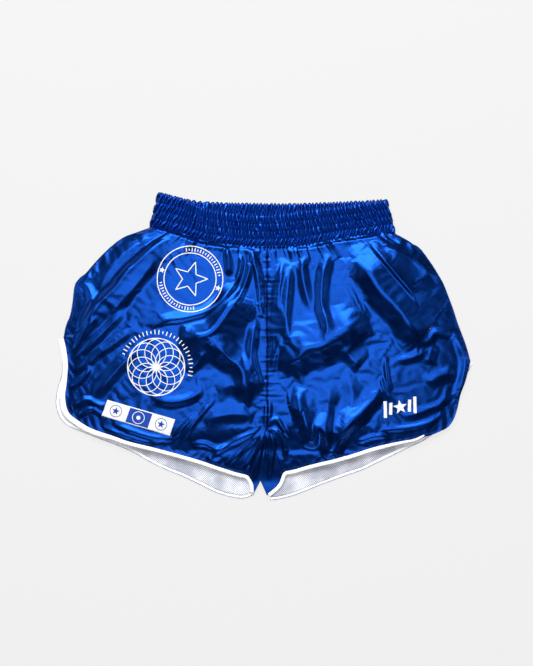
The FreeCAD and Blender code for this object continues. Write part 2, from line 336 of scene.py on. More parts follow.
puff = {
    "seam": [(-225, 5.0), (-195, 5.6), (-150, 11.0), (-112, 16.6), (-60, 17.6), (190, 17.6)],
    "crown": [(-225, 7.5), (-160, 10.5), (-100, 14.5), (-20, 18.5), (60, 20.0), (110, 19.0), (190, 16.0)],
    "side": 4.2,
    "sideSeamHeight": 2.6,   # where the front is sewn to the back
    "sideRound": 13,         # how far in the round side reaches
    "hemDrop": 2.4,          # the lower edge falls this much past the pattern line
    "seamPucker": 0.9,
    "seamWave": 0.8,
    "seamCap": 18.2,         # keeps folds beside the seam clear of each other when the shorts are folded
    "bandTuck": 0.9,         # how far the cloth dips into the waistband seam
}

# each fold: its crest, its height, and how far it falls away to the left and to the right of the crest
foldsLeft = [
    ([(111, 134), (128, 120), (145, 103), (164, 75), (187, 50), (204, 26), (218, 4),
      (237, 0)], 9.5, 50, 24),
    ([(10, -31), (36, -19), (58, -6), (80, 0), (100, 12), (120, 25), (139, 37), (152, 42)], 9, 62, 28),
    ([(26, 131), (23, 106), (17, 78), (15, 47), (15, 15), (13, -13), (9, -48)], 3.6, 6, 6),
    ([(38, 126), (34, 92), (30, 50), (27, 1)], 3.5, 10, 30),
    ([(58, 131), (52, 109), (57, 78), (66, 47)], 2.2, 10, 9),
    ([(96, 134), (85, 114), (80, 86), (80, 56), (87, 28), (83, 2)], 4.2, 12, 10),
    ([(142, 154), (159, 130), (184, 100), (206, 74), (218, 53)], 3.4, 22, 5),
    ([(215, 8), (229, 6), (241, 18), (262, 11)], 1.8, 9, 8),
    ([(237, 2), (233, -12), (229, -28)], 1.6, 9, 9),
    ([(267, 22), (276, 1), (283, -23), (278, -51), (271, -79)], 2.6, 10, 9),
    ([(20, -97), (32, -106), (41, -112), (48, -104), (53, -90), (58, -106), (64, -133), (70, -130),
      (76, -114), (82, -122), (91, -147), (98, -146), (114, -118), (136, -99), (155, -72)], 6.0, 30, 12),
    ([(167, -48), (156, -70), (136, -92), (114, -111), (97, -135)], 3.2, 14, 16),
    ([(107, -2), (120, -16), (136, -31)], 1.7, 22, 13),
    ([(162, 140), (192, 130), (223, 110), (246, 84)], 3.4, 14, 26),
    ([(50, -54), (48, -76), (51, -104), (54, -135)], 2.6, 10, 10),
    ([(92, -48), (89, -83), (86, -118), (92, -146)], 2.2, 16, 16),
    ([(113, -37), (122, -62), (120, -87), (106, -111)], 1.6, 14, 14),
    ([(169, -13), (171, -41), (177, -70)], 1.4, 5, 4),
    ([(163, -42), (167, -59), (176, -79)], 1.4, 4, 4),
    ([(183, -20), (206, -17), (232, -6)], 1.2, 9, 9),
    ([(225, -55), (248, -42), (271, -37)], 2.0, 12, 12),
    ([(190, -101), (218, -93), (246, -82), (262, -68)], 1.2, 7, 9),
    ([(150, -126), (176, -118), (204, -115), (234, -107), (257, -90)], 1.3, 6, 6),
    ([(127, -138), (150, -129), (178, -126)], 1.6, 5, 5),
    ([(23, 64), (20, 22), (22, -13)], 1.5, 5, 6)
]
foldsRight = [
    ([(-163, 22), (-142, 34), (-111, 39), (-83, 47), (-60, 65), (-41, 89), (-34, 112)], 3.4, 12, 7),
    ([(-124, 15), (-97, 14), (-75, 20), (-57, 42), (-43, 65), (-36, 86)], 8.5, 20, 42),
    ([(-71, 18), (-64, 0), (-51, -16), (-34, -30), (-25, -51), (-20, -79)], 6.5, 20, 20),
    ([(-20, 142), (-15, 123), (-8, 95), (-4, 64), (-4, 36)], 4.4, 7, 6),
    ([(-11, 42), (-16, 11), (-18, -14), (-12, -42), (-1, -70)], 4.0, 8, 10),
    ([(-54, 140), (-50, 117), (-50, 95)], 3.4, 5, 6),
    ([(-16, 134), (-22, 103), (-32, 75), (-46, 50)], 2.6, 6, 6),
    ([(-34, 131), (-33, 112), (-40, 86)], 2.2, 5, 5),
    ([(-96, 160), (-130, 152), (-158, 135), (-186, 110), (-211, 81), (-235, 56), (-253, 22),
      (-267, -9)], 7.0, 26, 11),
    ([(-132, 162), (-166, 149), (-200, 126), (-225, 98), (-236, 70)], 2.4, 14, 14),
    ([(-146, 131), (-163, 106), (-183, 81), (-205, 56), (-225, 28)], 2.4, 12, 16),
    ([(-270, -12), (-253, 19), (-233, 44)], 1.8, 5, 6),
    ([(-271, -23), (-244, 2), (-216, 30), (-191, 53)], 2.2, 8, 9),
    ([(-268, -40), (-237, -14), (-205, 8), (-177, 33)], 2.0, 8, 9),
    ([(-247, -79), (-225, -54), (-197, -23), (-166, 8)], 2.4, 12, 12),
    ([(-270, -87), (-250, -76), (-230, -84), (-214, -79)], 2.0, 6, 7),
    ([(-264, -101), (-244, -89), (-225, -100)], 1.8, 5, 5),
    ([(-275, -62), (-258, -48), (-242, -28)], 1.8, 6, 6),
    ([(-216, -110), (-191, -118), (-160, -128), (-124, -132)], 2.0, 6, 7),
    ([(-230, -115), (-202, -124), (-172, -134), (-146, -139)], 1.5, 5, 5),
    ([(-118, -136), (-104, -115), (-86, -93), (-68, -73)], 1.5, 5, 5),
    ([(-130, -132), (-110, -110), (-93, -93)], 1.2, 5, 5),
    ([(-69, -65), (-48, -56), (-30, -65), (-20, -90)], 2.0, 16, 14),
    ([(-90, -104), (-62, -98), (-34, -96), (-12, -101)], 2.2, 16, 14),
    ([(-83, -160), (-57, -143), (-32, -129), (-4, -118)], 2.0, 5, 6),
    ([(-54, -171), (-34, -149), (-15, -132), (1, -118)], 2.0, 5, 5),
    ([(-29, -182), (-20, -160), (-9, -139), (2, -120)], 2.2, 5, 5),
    ([(-104, -140), (-85, -138), (-68, -145), (-48, -140)], 1.6, 6, 6),
    ([(-82, -154), (-71, -163), (-60, -160)], 1.2, 5, 5),
    ([(-160, -73), (-132, -79), (-104, -73), (-83, -59)], 2.4, 12, 9),
    ([(-110, -37), (-93, -23), (-82, -6)], 1.6, 8, 9),
    ([(-250, 89), (-242, 64), (-253, 39), (-264, 14)], 2.2, 9, 10),
    ([(-214, 89), (-202, 100), (-186, 117)], 1.3, 5, 7)
]
foldsCrotch = [
    ([(3, -117), (17, -121), (27, -138), (30, -163)], 2.2, 5, 4),
    ([(3, -118), (12, -135), (10, -163), (5, -191)], 2.2, 4, 5),
    ([(2, -118), (-4, -140), (-9, -163), (-15, -191)], 2.0, 4, 5),
    ([(2, -120), (5, -140), (1, -163)], 1.4, 4, 4),
    ([(5, -73), (5, -93), (2, -115)], 2.2, 6, 6),
    ([(3, -115), (16, -103), (27, -118), (36, -132)], 1.8, 5, 5)
]
foldLook = {"strength": 1.35, "crestRound": 0.34, "footRound": 0.3, "endTaper": 0.28}

gathers = {"depth": [1.3, 1.9, 1.9], "reach": [9, 22, 50], "width": [2.7, 6.5, 14.0], "seeds": [3, 8, 21]}
crinkle = {"height": [0.10, 0.30], "size": [9, 24], "seeds": [5, 12]}


def halfWidth(y):
    return 291 * (1 - (np.abs(y + 30.5) / 300) ** 2.5)


def puffedHeight(x, y):
    reach = halfWidth(y) - np.where(x < seamX, -6, 6)
    share = np.clip(np.abs(x - seamX) / reach, 0, 1)
    rise = knots(puff["crown"], y) - puff["side"]
    atSeam = (knots(puff["seam"], y) - puff["side"]) / rise
    return puff["side"] + rise * (1 - share ** 2) * (atSeam + share)


def softMin(a, b, k):
    h = np.maximum(k - np.abs(a - b), 0) / k
    return np.minimum(a, b) - h * h * k / 4


def foldHeight(x, y, folds):
    z = np.zeros_like(x)
    for points, height, leftReach, rightReach in folds:
        line = smoothPath(points, 5 * len(points))
        reach = max(leftReach, rightReach) * (1.05 + foldLook["footRound"])
        low, high = line.min(0) - reach, line.max(0) + reach
        near = (x > low[0]) & (x < high[0]) & (y > low[1]) & (y < high[1])
        if not near.any():
            continue
        px, py = x[near], y[near]
        best = np.full(px.shape, 1e9)
        side = np.zeros(px.shape)
        along = np.zeros(px.shape)
        steps = np.linalg.norm(np.diff(line, axis=0), axis=1)
        done, total = 0.0, steps.sum()
        ways = np.gradient(line, axis=0)
        for (ax, ay), (bx, by), (awx, awy), (bwx, bwy), step in zip(line, line[1:], ways, ways[1:], steps):
            ux, uy = (bx - ax) / step, (by - ay) / step
            t = np.clip((px - ax) * ux + (py - ay) * uy, 0, step)
            ex, ey = px - ax - ux * t, py - ay - uy * t
            gap = np.hypot(ex, ey)
            nearer = gap < best
            best = np.where(nearer, gap, best)
            wx, wy = awx + (bwx - awx) * t / step, awy + (bwy - awy) * t / step
            side = np.where(nearer, np.where(wx * ey - wy * ex > 0, 1, -1), side)
            along = np.where(nearer, (done + t) / total, along)
            done += step
        signed = best * side
        leftFlank = height * (1 - signed / leftReach)
        rightFlank = height * (1 + signed / rightReach)
        ridge = softMin(leftFlank, rightFlank, foldLook["crestRound"] * height)
        foot = foldLook["footRound"] * height
        ridge = np.maximum(ridge, 0) + np.maximum(foot - np.abs(ridge), 0) ** 2 / (4 * foot)
        taper = eased(along / foldLook["endTaper"]) * eased((1 - along) / foldLook["endTaper"])
        z[near] += ridge * taper * foldLook["strength"]
    return z


def restingHeight(x, y):
    z = puffedHeight(x, y)
    z += foldHeight(x, y, foldsLeft + foldsRight + foldsCrotch)
    for height, size, seed in zip(crinkle["height"], crinkle["size"], crinkle["seeds"]):
        z += height * unevenness(seed, x + 0.3 * y, y - 0.3 * x, size)
    return z


def patch(top, low, inner, outer, across, down):
    top, low = evenly(top, across), evenly(low, across)
    inner, outer = evenly(inner, down), evenly(outer, down)
    u, v = np.linspace(0, 1, across)[None, :, None], np.linspace(0, 1, down)[:, None, None]
    ruled = (1 - v) * top[None] + v * low[None] + (1 - u) * inner[:, None] + u * outer[:, None]
    corners = (1 - u) * (1 - v) * top[0] + u * (1 - v) * top[-1] + (1 - u) * v * low[0] + u * v * low[-1]
    return ruled - corners


def outwardOf(path, sign):
    along = np.gradient(path, axis=0)
    along /= np.linalg.norm(along, axis=1)[:, None]
    return np.column_stack([-along[:, 1], along[:, 0]]) * sign


def hemLine(leg, hemName, count):
    hem = smoothPath(leg[hemName], count)
    if hemName == "backHem":
        return hem
    corner = np.argmin(np.linalg.norm(hem - np.array(leg[hemName][leg["hemStart"]]), axis=1))
    run = np.linspace(0, 1, len(hem))
    lowered = eased((run - run[corner]) / 0.16) * eased((1 - run) / 0.06)
    return hem + outwardOf(hem, leg["sign"]) * (puff["hemDrop"] * lowered)[:, None]


def legEdges(leg, bandLine, hemName):
    sign = leg["sign"]
    line = smoothPath(bandLine, 400)
    line = line[(line[:, 0] - seamX) * sign > 0]
    if sign < 0:
        line = line[::-1]
    bandEdge = np.vstack([[seamX, line[0][1]], line])
    hem = hemLine(leg, hemName, 600)
    corner = np.argmin(np.linalg.norm(hem - np.array(leg[hemName][leg["hemStart"]]), axis=1))
    outer = np.vstack([smoothPath(leg["sideSeam"], 300), hem[1:corner + 1]])
    lower = hem[corner:][::-1]
    inner = [bandEdge[0], crotch, leg["inner"]]
    if hemName == "backHem":
        inner = inner + [lower[0]]
    return bandEdge, lower, np.array(inner, float), outer


def lengthDown(grid):
    steps = np.linalg.norm(np.diff(grid, axis=0), axis=2)
    return np.cumsum(np.vstack([np.zeros((1, grid.shape[1])), steps]), 0)


def frontPanelRows(leg, across, down):
    edges = legEdges(leg, plan["bandLowFront"], "frontHem")
    flat = patch(*edges, across, down)
    x, y = flat[..., 0], flat[..., 1]
    z = restingHeight(x, y)
    fromBand = lengthDown(flat)
    fromSide = lengthDown(flat.transpose(1, 0, 2)[::-1])[::-1].T
    alongBand = lengthAlong(flat[0])[None, :]
    flat[..., 1] += 1.6 * (1 - eased(fromBand / 6))
    slip = alongBand + 3.0 * unevenness(40, x, y, 30)
    for depth, reach, width, seed in zip(*gathers.values()):
        wave = ripple(rippleLine(seed), slip * leg["sign"] / width + 200)
        z += depth * np.exp(-fromBand / reach) * eased((fromBand + 1.2) / 3) * wave
    bandZ = frontBandHeight(x)
    z = z + (bandZ - puff["bandTuck"] - z) * (1 - eased(fromBand / 7)) * 0.8
    ventTop = leg["frontHem"][0][1]
    sewn = eased((y - ventTop - 4) / 26)
    inward = np.clip(fromSide / puff["sideRound"], 0, 1)
    rounded = puff["sideSeamHeight"] + (z - puff["sideSeamHeight"]) * np.sqrt(1 - (1 - inward) ** 2)
    z = z + (rounded - z) * sewn
    seamDip = np.exp(-((x - seamX) / 1.6) ** 2) * eased((y - crotch[1] + 6) / 6)
    z = softMin(z, puff["seamCap"] + 0.26 * np.abs(x - seamX), 1.6)
    puckers = ripple(rippleLine(52), y / 3.4 + 100) * np.exp(-np.abs(x - seamX) / 5.0)
    z += puff["seamPucker"] * puckers * eased((y - crotch[1] + 6) / 6) - 0.35 * seamDip
    wave = ripple(rippleLine(57), y / 7.5 + 100) * np.exp(-np.abs(x - seamX) / 7.0)
    flat[..., 0] += puff["seamWave"] * wave * eased((y - crotch[1] - 4) / 12) * eased(fromBand / 20)
    return np.dstack([flat, z])


# waistband: one ring of gathered casing

band = {
    "columns": 1300, "thickness": 4.4, "rows": 4,
    "backMiddle": 2.4, "sideMiddle": 7.4, "centreMiddle": 15.2,
    "pleatPitch": 5.3, "pleatDepth": 2.1, "rowPinch": 0.16,
    "lowest": 0.2, "cut": (0.98, 0.055),
    "leanLeft": -1.3, "leanRight": 0.5, "bottomLean": -0.8, "rowZigzag": 0.16,   # in pleats over one row
}


def frontBandMiddle(x):
    reach = np.where(x < seamX, 163, 178)
    share = np.clip(np.abs(x - seamX) / reach, 0, 1)
    return band["sideMiddle"] + (band["centreMiddle"] - band["sideMiddle"]) * (1 - share ** 2)


def frontBandHeight(x):
    return frontBandMiddle(x) + band["thickness"] / 2


def bandRing():
    angle = np.linspace(0, 2 * math.pi, 6000, endpoint=False)
    t = (1 - np.cos(angle)) / 2
    curves = {k: smoothPath(line, 800) for k, line in plan.items()}

    def at(curve, t):
        line = curves[curve]
        i = t * (len(line) - 1)
        j = np.clip(i.astype(int), 0, len(line) - 2)
        f = (i - j)[:, None]
        return line[j] * (1 - f) + line[j + 1] * f

    lift = np.sign(np.sin(angle)) * np.abs(np.sin(angle)) ** 0.35
    share = (1 + lift)[:, None] / 2
    top = at("bandTopFront", t) * share + at("bandTopBack", t) * (1 - share)
    low = at("bandLowFront", t) * share + at("bandLowBack", t) * (1 - share)
    front = frontBandMiddle((top[:, 0] + low[:, 0]) / 2)
    z = (front + band["backMiddle"]) / 2 + (front - band["backMiddle"]) / 2 * lift
    ring = np.column_stack([top, low, z])
    middle = np.column_stack([(top + low) / 2, z])
    length = lengthAlong(np.vstack([middle, middle[:1]]))
    want = np.linspace(0, length[-1], band["columns"], endpoint=False)
    ring = np.vstack([ring, ring[:1]])
    ring = np.stack([np.interp(want, length, ring[:, i]) for i in range(5)], 1)
    return ring, want


def waistbandRows():
    ring, along = bandRing()
    top, low = np.column_stack([ring[:, 0:2], ring[:, 4]]), np.column_stack([ring[:, 2:4], ring[:, 4]])
    middle = (top + low) / 2
    ahead = np.roll(middle, -1, 0) - np.roll(middle, 1, 0)
    up = top - low
    upward = up / np.linalg.norm(up, axis=1)[:, None]
    out = np.cross(up, ahead)
    out /= np.linalg.norm(out, axis=1)[:, None]
    if out[np.argmax(middle[:, 2])][2] < 0:
        out = -out
    half = band["thickness"] / 2
    face = np.linspace(0, 1, 41)
    rows, across = [], []
    for share in face:                                  # outer face, from the lower edge up
        rows.append(low + up * share + out * half)
        across.append(share)
    for turn in np.linspace(0, math.pi, 9)[1:-1]:       # over the top edge
        rows.append(top + out * half * math.cos(turn) + upward * half * math.sin(turn))
        across.append(1.0)
    for share in face[::-2]:
        rows.append(low + up * share - out * half)
        across.append(share)
    for turn in np.linspace(0, math.pi, 7)[1:-1]:       # round the lower edge
        rows.append(low - out * half * math.cos(turn) - upward * half * math.sin(turn))
        across.append(0.0)
    return np.array(rows), np.array(across), along


def pleatLean(x, across):
    side = eased((x + 120) / 60)
    upper = band["leanLeft"] * (1 - side) * 0.5 + band["leanRight"] * side
    lean = np.where(across < 1, band["bottomLean"] * across, band["bottomLean"] + upper * (across - 1))
    return lean + band["rowZigzag"] * np.abs((across + 0.5) % 1 * 2 - 1)


def buildWaistband(material):
    rows, across, along = waistbandRows()
    count, columns = rows.shape[:2]
    mesh = bpy.data.meshes.new("waistband")
    i, j = np.meshgrid(np.arange(count), np.arange(columns), indexing="ij")
    ni, nj = (i + 1) % count, (j + 1) % columns
    faces = np.stack([i * columns + j, i * columns + nj, ni * columns + nj, ni * columns + j], -1)
    faces = faces.reshape(-1, 4)
    mesh.from_pydata((rows.reshape(-1, 3) * mm).tolist(), [], faces.tolist())
    mesh.polygons.foreach_set("use_smooth", [True] * len(mesh.polygons))
    piece = bpy.data.objects.new("waistband", mesh)
    scene.collection.objects.link(piece)
    uv = mesh.uv_layers.new(name="cloth")
    corner = np.zeros(len(mesh.loops), int)
    mesh.loops.foreach_get("vertex_index", corner)
    alongAll = np.broadcast_to(along[None, :], (count, columns)).ravel()
    acrossAll = np.broadcast_to(across[:, None], (count, columns)).ravel()
    uv.data.foreach_set("uv", np.column_stack([alongAll[corner] * mm, acrossAll[corner] * 0.045]).ravel())
    lean = pleatLean(rows[..., 0].ravel(), acrossAll * band["rows"])
    for name, values in (("along", alongAll), ("across", acrossAll * band["rows"]), ("lean", lean)):
        layer = mesh.attributes.new(name, "FLOAT", "POINT")
        layer.data.foreach_set("value", values.astype(np.float32))
    mesh.materials.append(material)
    return piece


def nodeMaker(tree):
    def add(kind, inputs=None, **settings):
        node = tree.nodes.new(kind)
        for key, value in settings.items():
            setattr(node, key, value)
        for key, value in (inputs or {}).items():
            if isinstance(value, bpy.types.NodeSocket):
                tree.links.new(value, node.inputs[key])
            else:
                node.inputs[key].default_value = value
        return node

    def maths(kind, a, b=0.0, c=0.0):
        node = add("ShaderNodeMath", {0: a, 1: b, 2: c}, operation=kind)
        return node.outputs[0]
    return add, maths


def geometryTree(name, sockets):
    tree = bpy.data.node_groups.new(name, "GeometryNodeTree")
    tree.interface.new_socket("Geometry", in_out="INPUT", socket_type="NodeSocketGeometry")
    for label, kind, value in sockets:
        item = tree.interface.new_socket(label, in_out="INPUT", socket_type=kind)
        if value is not None:
            item.default_value = value
    tree.interface.new_socket("Geometry", in_out="OUTPUT", socket_type="NodeSocketGeometry")
    return tree, tree.nodes.new("NodeGroupInput"), tree.nodes.new("NodeGroupOutput")


def pleatTree():
    tree, given, result = geometryTree("gatheredPleats", [
        ("pitch", "NodeSocketFloat", 5.0), ("depth", "NodeSocketFloat", 0.001),
        ("pinch", "NodeSocketFloat", 0.001), ("seed", "NodeSocketFloat", 4.0),
        ("cloth", "NodeSocketMaterial", None)])
    add, maths = nodeMaker(tree)

    def stored(name):
        return add("GeometryNodeInputNamedAttribute", {0: name}, data_type="FLOAT").outputs[0]

    def noise(alongScale, acrossScale):
        place = add("ShaderNodeCombineXYZ", {0: maths("MULTIPLY", along, alongScale),
                                             1: maths("MULTIPLY", across, acrossScale)}).outputs[0]
        look = {"Vector": place, "W": given.outputs["seed"], "Scale": 1.0, "Detail": 1.0}
        return add("ShaderNodeTexNoise", look, noise_dimensions="4D").outputs[0]

    along, across, lean = stored("along"), stored("across"), stored("lean")
    turns = maths("ADD", maths("DIVIDE", along, given.outputs["pitch"]), lean)
    turns = maths("ADD", turns, maths("MULTIPLY", noise(0.06, 0.15), 2.4))
    turns = maths("ADD", turns, maths("MULTIPLY", noise(0.12, 0.45), 1.0))
    crest = maths("ABSOLUTE", maths("SINE", maths("MULTIPLY", turns, math.pi)))
    crest = maths("SUBTRACT", maths("MULTIPLY", maths("POWER", crest, 0.75), 2.0), 1.1)
    strength = maths("ADD", maths("MULTIPLY", noise(0.15, 0.6), 1.2), 0.4)
    puffed = maths("POWER", maths("ABSOLUTE", maths("SINE", maths("MULTIPLY", across, math.pi))), 0.55)
    height = maths("MULTIPLY", maths("MULTIPLY", crest, given.outputs["depth"]), strength)
    height = maths("MULTIPLY", height, maths("ADD", maths("MULTIPLY", puffed, 0.3), 0.75))
    height = maths("ADD", height, maths("MULTIPLY", maths("SUBTRACT", puffed, 0.7), given.outputs["pinch"]))
    offset = add("ShaderNodeVectorMath", {0: add("GeometryNodeInputNormal").outputs[0], "Scale": height},
                 operation="SCALE").outputs[0]
    moved = add("GeometryNodeSetPosition", {"Geometry": given.outputs[0], "Offset": offset})
    real = add("GeometryNodeRealizeInstances", {0: moved.outputs[0]})
    finish = add("GeometryNodeSetMaterial", {"Geometry": real.outputs[0], "Material": given.outputs["cloth"]})
    tree.links.new(finish.outputs[0], result.inputs[0])
    return tree


def stitchTree():
    tree, given, result = geometryTree("stitchRow", [
        ("pitch", "NodeSocketFloat", 0.003), ("length", "NodeSocketFloat", 0.002),
        ("thick", "NodeSocketFloat", 0.0006), ("seed", "NodeSocketInt", 2),
        ("thread", "NodeSocketMaterial", None)])
    add, maths = nodeMaker(tree)
    curve = add("GeometryNodeMeshToCurve", {0: given.outputs[0]})
    points = add("GeometryNodeCurveToPoints", {0: curve.outputs[0]}, mode="LENGTH")
    spacing = next(item for item in points.inputs if item.name == "Length")
    tree.links.new(given.outputs["pitch"], spacing)
    tangent = points.outputs["Tangent"]
    turn = add("FunctionNodeAlignRotationToVector", {"Vector": tangent}, axis="X")
    bead = add("GeometryNodeMeshIcoSphere", {"Radius": 0.5, "Subdivisions": 2})
    thick = given.outputs["thick"]
    uneven = add("FunctionNodeRandomValue", {2: 0.85, 3: 1.15, "Seed": given.outputs["seed"]},
                 data_type="FLOAT").outputs[1]
    size = add("ShaderNodeCombineXYZ", {0: given.outputs["length"], 1: maths("MULTIPLY", thick, uneven),
                                        2: thick})
    placed = add("GeometryNodeInstanceOnPoints", {"Points": points.outputs[0], "Instance": bead.outputs[0],
                                                  "Rotation": turn.outputs[0], "Scale": size.outputs[0]})
    real = add("GeometryNodeRealizeInstances", {0: placed.outputs[0]})
    finish = add("GeometryNodeSetMaterial", {"Geometry": real.outputs[0],
                                             "Material": given.outputs["thread"]})
    tree.links.new(finish.outputs[0], result.inputs[0])
    return tree


def setInputs(modifier, values):
    for item in modifier.node_group.interface.items_tree:
        if item.item_type == "SOCKET" and item.in_out == "INPUT" and item.name in values:
            modifier[item.identifier] = values[item.name]


def bakeNodes(piece, tree, values):
    modifier = piece.modifiers.new("nodes", "NODES")
    modifier.node_group = tree
    setInputs(modifier, values)
    bpy.context.view_layer.update()
    evaluated = piece.evaluated_get(bpy.context.evaluated_depsgraph_get())
    made = bpy.data.meshes.new_from_object(evaluated)
    piece.modifiers.remove(modifier)
    old, name = piece.data, piece.data.name
    piece.data = made
    bpy.data.meshes.remove(old)
    made.name = name
    return piece


# finishes

def newMaterial(name):
    material = bpy.data.materials.new(name)
    material.use_nodes = True
    tree = material.node_tree
    return material, tree, tree.nodes["Principled BSDF"], nodeMaker(tree)[0]


satinLook = {
    "deep": (0.0020, 0.039, 0.27), "bright": (0.0028, 0.052, 0.33), "mottle": 60.0,
    "metallic": 0.95, "roughness": 0.29, "unevenShine": 0.04,
    "weave": 0.0009, "weaveDepth": 0.06,
}


def satinMaterial():
    material, tree, shader, add = newMaterial("blueSatin")
    where = add("ShaderNodeTexCoord")
    mottle = add("ShaderNodeTexNoise", {"Vector": where.outputs["Object"], "Scale": satinLook["mottle"],
                                        "Detail": 3.0})
    colour = add("ShaderNodeMix", {0: mottle.outputs[0]}, data_type="RGBA")
    colour.inputs[6].default_value = (*satinLook["deep"], 1)
    colour.inputs[7].default_value = (*satinLook["bright"], 1)
    tree.links.new(colour.outputs[2], shader.inputs["Base Color"])
    shader.inputs["Metallic"].default_value = satinLook["metallic"]
    rough = add("ShaderNodeMapRange", {0: mottle.outputs[0], 1: 0.3, 2: 0.7,
                                       3: satinLook["roughness"] - satinLook["unevenShine"],
                                       4: satinLook["roughness"] + satinLook["unevenShine"]})
    tree.links.new(rough.outputs[0], shader.inputs["Roughness"])
    perMetre = 0.5 / satinLook["weave"] / math.pi
    weave = add("ShaderNodeTexWave", {"Vector": where.outputs["UV"], "Scale": perMetre, "Distortion": 0.6,
                                      "Detail": 1.0}, bands_direction="DIAGONAL")
    bump = add("ShaderNodeBump", {"Strength": satinLook["weaveDepth"], "Distance": 0.0001,
                                  "Height": weave.outputs[0]})
    tree.links.new(bump.outputs[0], shader.inputs["Normal"])
    return material


knitLook = {
    "cloth": (0.82, 0.84, 0.89), "shade": (0.46, 0.48, 0.55), "patches": 26.0, "glow": 0.17,
    "pore": (0.10, 0.11, 0.17), "pitch": 0.0021, "turn": 40, "poreDepth": 0.5,
}


def liningMaterial():
    material, tree, shader, add = newMaterial("whiteKnit")
    where = add("ShaderNodeTexCoord")
    turned = add("ShaderNodeVectorRotate", {"Vector": where.outputs["Object"],
                                            "Angle": math.radians(knitLook["turn"])}, rotation_type="Z_AXIS")
    pores = add("ShaderNodeTexVoronoi", {"Vector": turned.outputs[0], "Scale": 1 / knitLook["pitch"],
                                         "Randomness": 0.0}, voronoi_dimensions="2D")
    yarn = add("ShaderNodeMapRange", {0: pores.outputs["Distance"], 1: 0.22, 2: 0.36, 3: 0.0, 4: 1.0})
    patches = add("ShaderNodeTexNoise", {"Vector": where.outputs["Object"], "Scale": knitLook["patches"],
                                         "Detail": 2.0})
    worn = add("ShaderNodeMapRange", {0: patches.outputs[0], 1: 0.38, 2: 0.60, 3: 0.0, 4: 1.0})
    shade = add("ShaderNodeMix", {0: worn.outputs[0]}, data_type="RGBA")
    shade.inputs[6].default_value = (*knitLook["shade"], 1)
    shade.inputs[7].default_value = (*knitLook["cloth"], 1)
    colour = add("ShaderNodeMix", {0: yarn.outputs[0]}, data_type="RGBA")
    colour.inputs[6].default_value = (*knitLook["pore"], 1)
    tree.links.new(shade.outputs[2], colour.inputs[7])
    tree.links.new(colour.outputs[2], shader.inputs["Base Color"])
    tree.links.new(colour.outputs[2], shader.inputs["Emission Color"])
    shader.inputs["Emission Strength"].default_value = knitLook["glow"]
    shader.inputs["Roughness"].default_value = 0.75
    bump = add("ShaderNodeBump", {"Strength": knitLook["poreDepth"], "Distance": 0.0003,
                                  "Height": yarn.outputs[0]})
    tree.links.new(bump.outputs[0], shader.inputs["Normal"])
    return material


tapeLook = {"cloth": (0.93, 0.93, 0.94), "roughness": 0.5, "sheen": 0.25, "ribs": 330.0, "ribDepth": 0.25}


def tapeMaterial():
    material, tree, shader, add = newMaterial("whiteTape")
    where = add("ShaderNodeTexCoord")
    ribs = add("ShaderNodeTexWave", {"Vector": where.outputs["UV"], "Scale": tapeLook["ribs"],
                                     "Distortion": 0.4}, bands_direction="X")
    shader.inputs["Base Color"].default_value = (*tapeLook["cloth"], 1)
    shader.inputs["Roughness"].default_value = tapeLook["roughness"]
    shader.inputs["Sheen Weight"].default_value = tapeLook["sheen"]
    bump = add("ShaderNodeBump", {"Strength": tapeLook["ribDepth"], "Distance": 0.0002,
                                  "Height": ribs.outputs[0]})
    tree.links.new(bump.outputs[0], shader.inputs["Normal"])
    return material


def threadMaterial(name, colour, roughness=0.55):
    material, tree, shader, add = newMaterial(name)
    where = add("ShaderNodeTexCoord")
    twist = add("ShaderNodeTexWave", {"Vector": where.outputs["Object"], "Scale": 700.0, "Distortion": 1.0},
                bands_direction="DIAGONAL")
    shade = add("ShaderNodeMix", {0: twist.outputs[0]}, data_type="RGBA")
    shade.inputs[6].default_value = (*[c * 0.82 for c in colour], 1)
    shade.inputs[7].default_value = (*colour, 1)
    tree.links.new(shade.outputs[2], shader.inputs["Base Color"])
    shader.inputs["Roughness"].default_value = roughness
    shader.inputs["Specular IOR Level"].default_value = 0.25
    bump = add("ShaderNodeBump", {"Strength": 0.4, "Distance": 0.0002, "Height": twist.outputs[0]})
    tree.links.new(bump.outputs[0], shader.inputs["Normal"])
    return material


blueSatin = satinMaterial()
whiteKnit = liningMaterial()
whiteTape = tapeMaterial()
whiteThread = threadMaterial("whiteThread", (0.90, 0.91, 0.93))
blueThread = threadMaterial("blueThread", (0.006, 0.05, 0.34))
print("finishes made")

# front leg panels and their lining

cloth = {"across": 190, "down": 215, "satinThickness": 0.6, "liningThickness": 0.45, "liningBelow": 1.75,
         "frontEase": 1.03, "backEase": 1.01}     # the cut over the outline on the table
joints = {"foldReach": 14, "gussetReach": 6, "cornerReach": 36}     # how far a bend spreads in the cloth
corners = {           # the fold line of each free corner: a point on it and the way out towards the corner
    "right": {"at": (-161.1, -82.0), "out": (-0.6064, -0.7952)},
    "left": {"at": (237.9, -77.0), "out": (0.7363, -0.6766)},
}


def blendCorner(piece, name):
    at, out = corners[name]["at"], corners[name]["out"]
    start = (at[0] * mm, at[1] * mm, 0)
    reach = joints["cornerReach"]
    end = ((at[0] + out[0] * reach) * mm, (at[1] + out[1] * reach) * mm, 0)
    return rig.blend(piece, f"{name}_half", f"{name}_corner", start=start, end=end)


def blendFold(piece, reach=joints["foldReach"]):
    start, end = ((seamX - reach) * mm, 0, 0), ((seamX + reach) * mm, 0, 0)
    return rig.blend(piece, "right_half", "left_half", start=start, end=end)


def thicken(piece, thickness):
    solid = piece.modifiers.new("thickness", "SOLIDIFY")
    solid.thickness = thickness * mm
    solid.offset = -1
    solid.use_rim = True


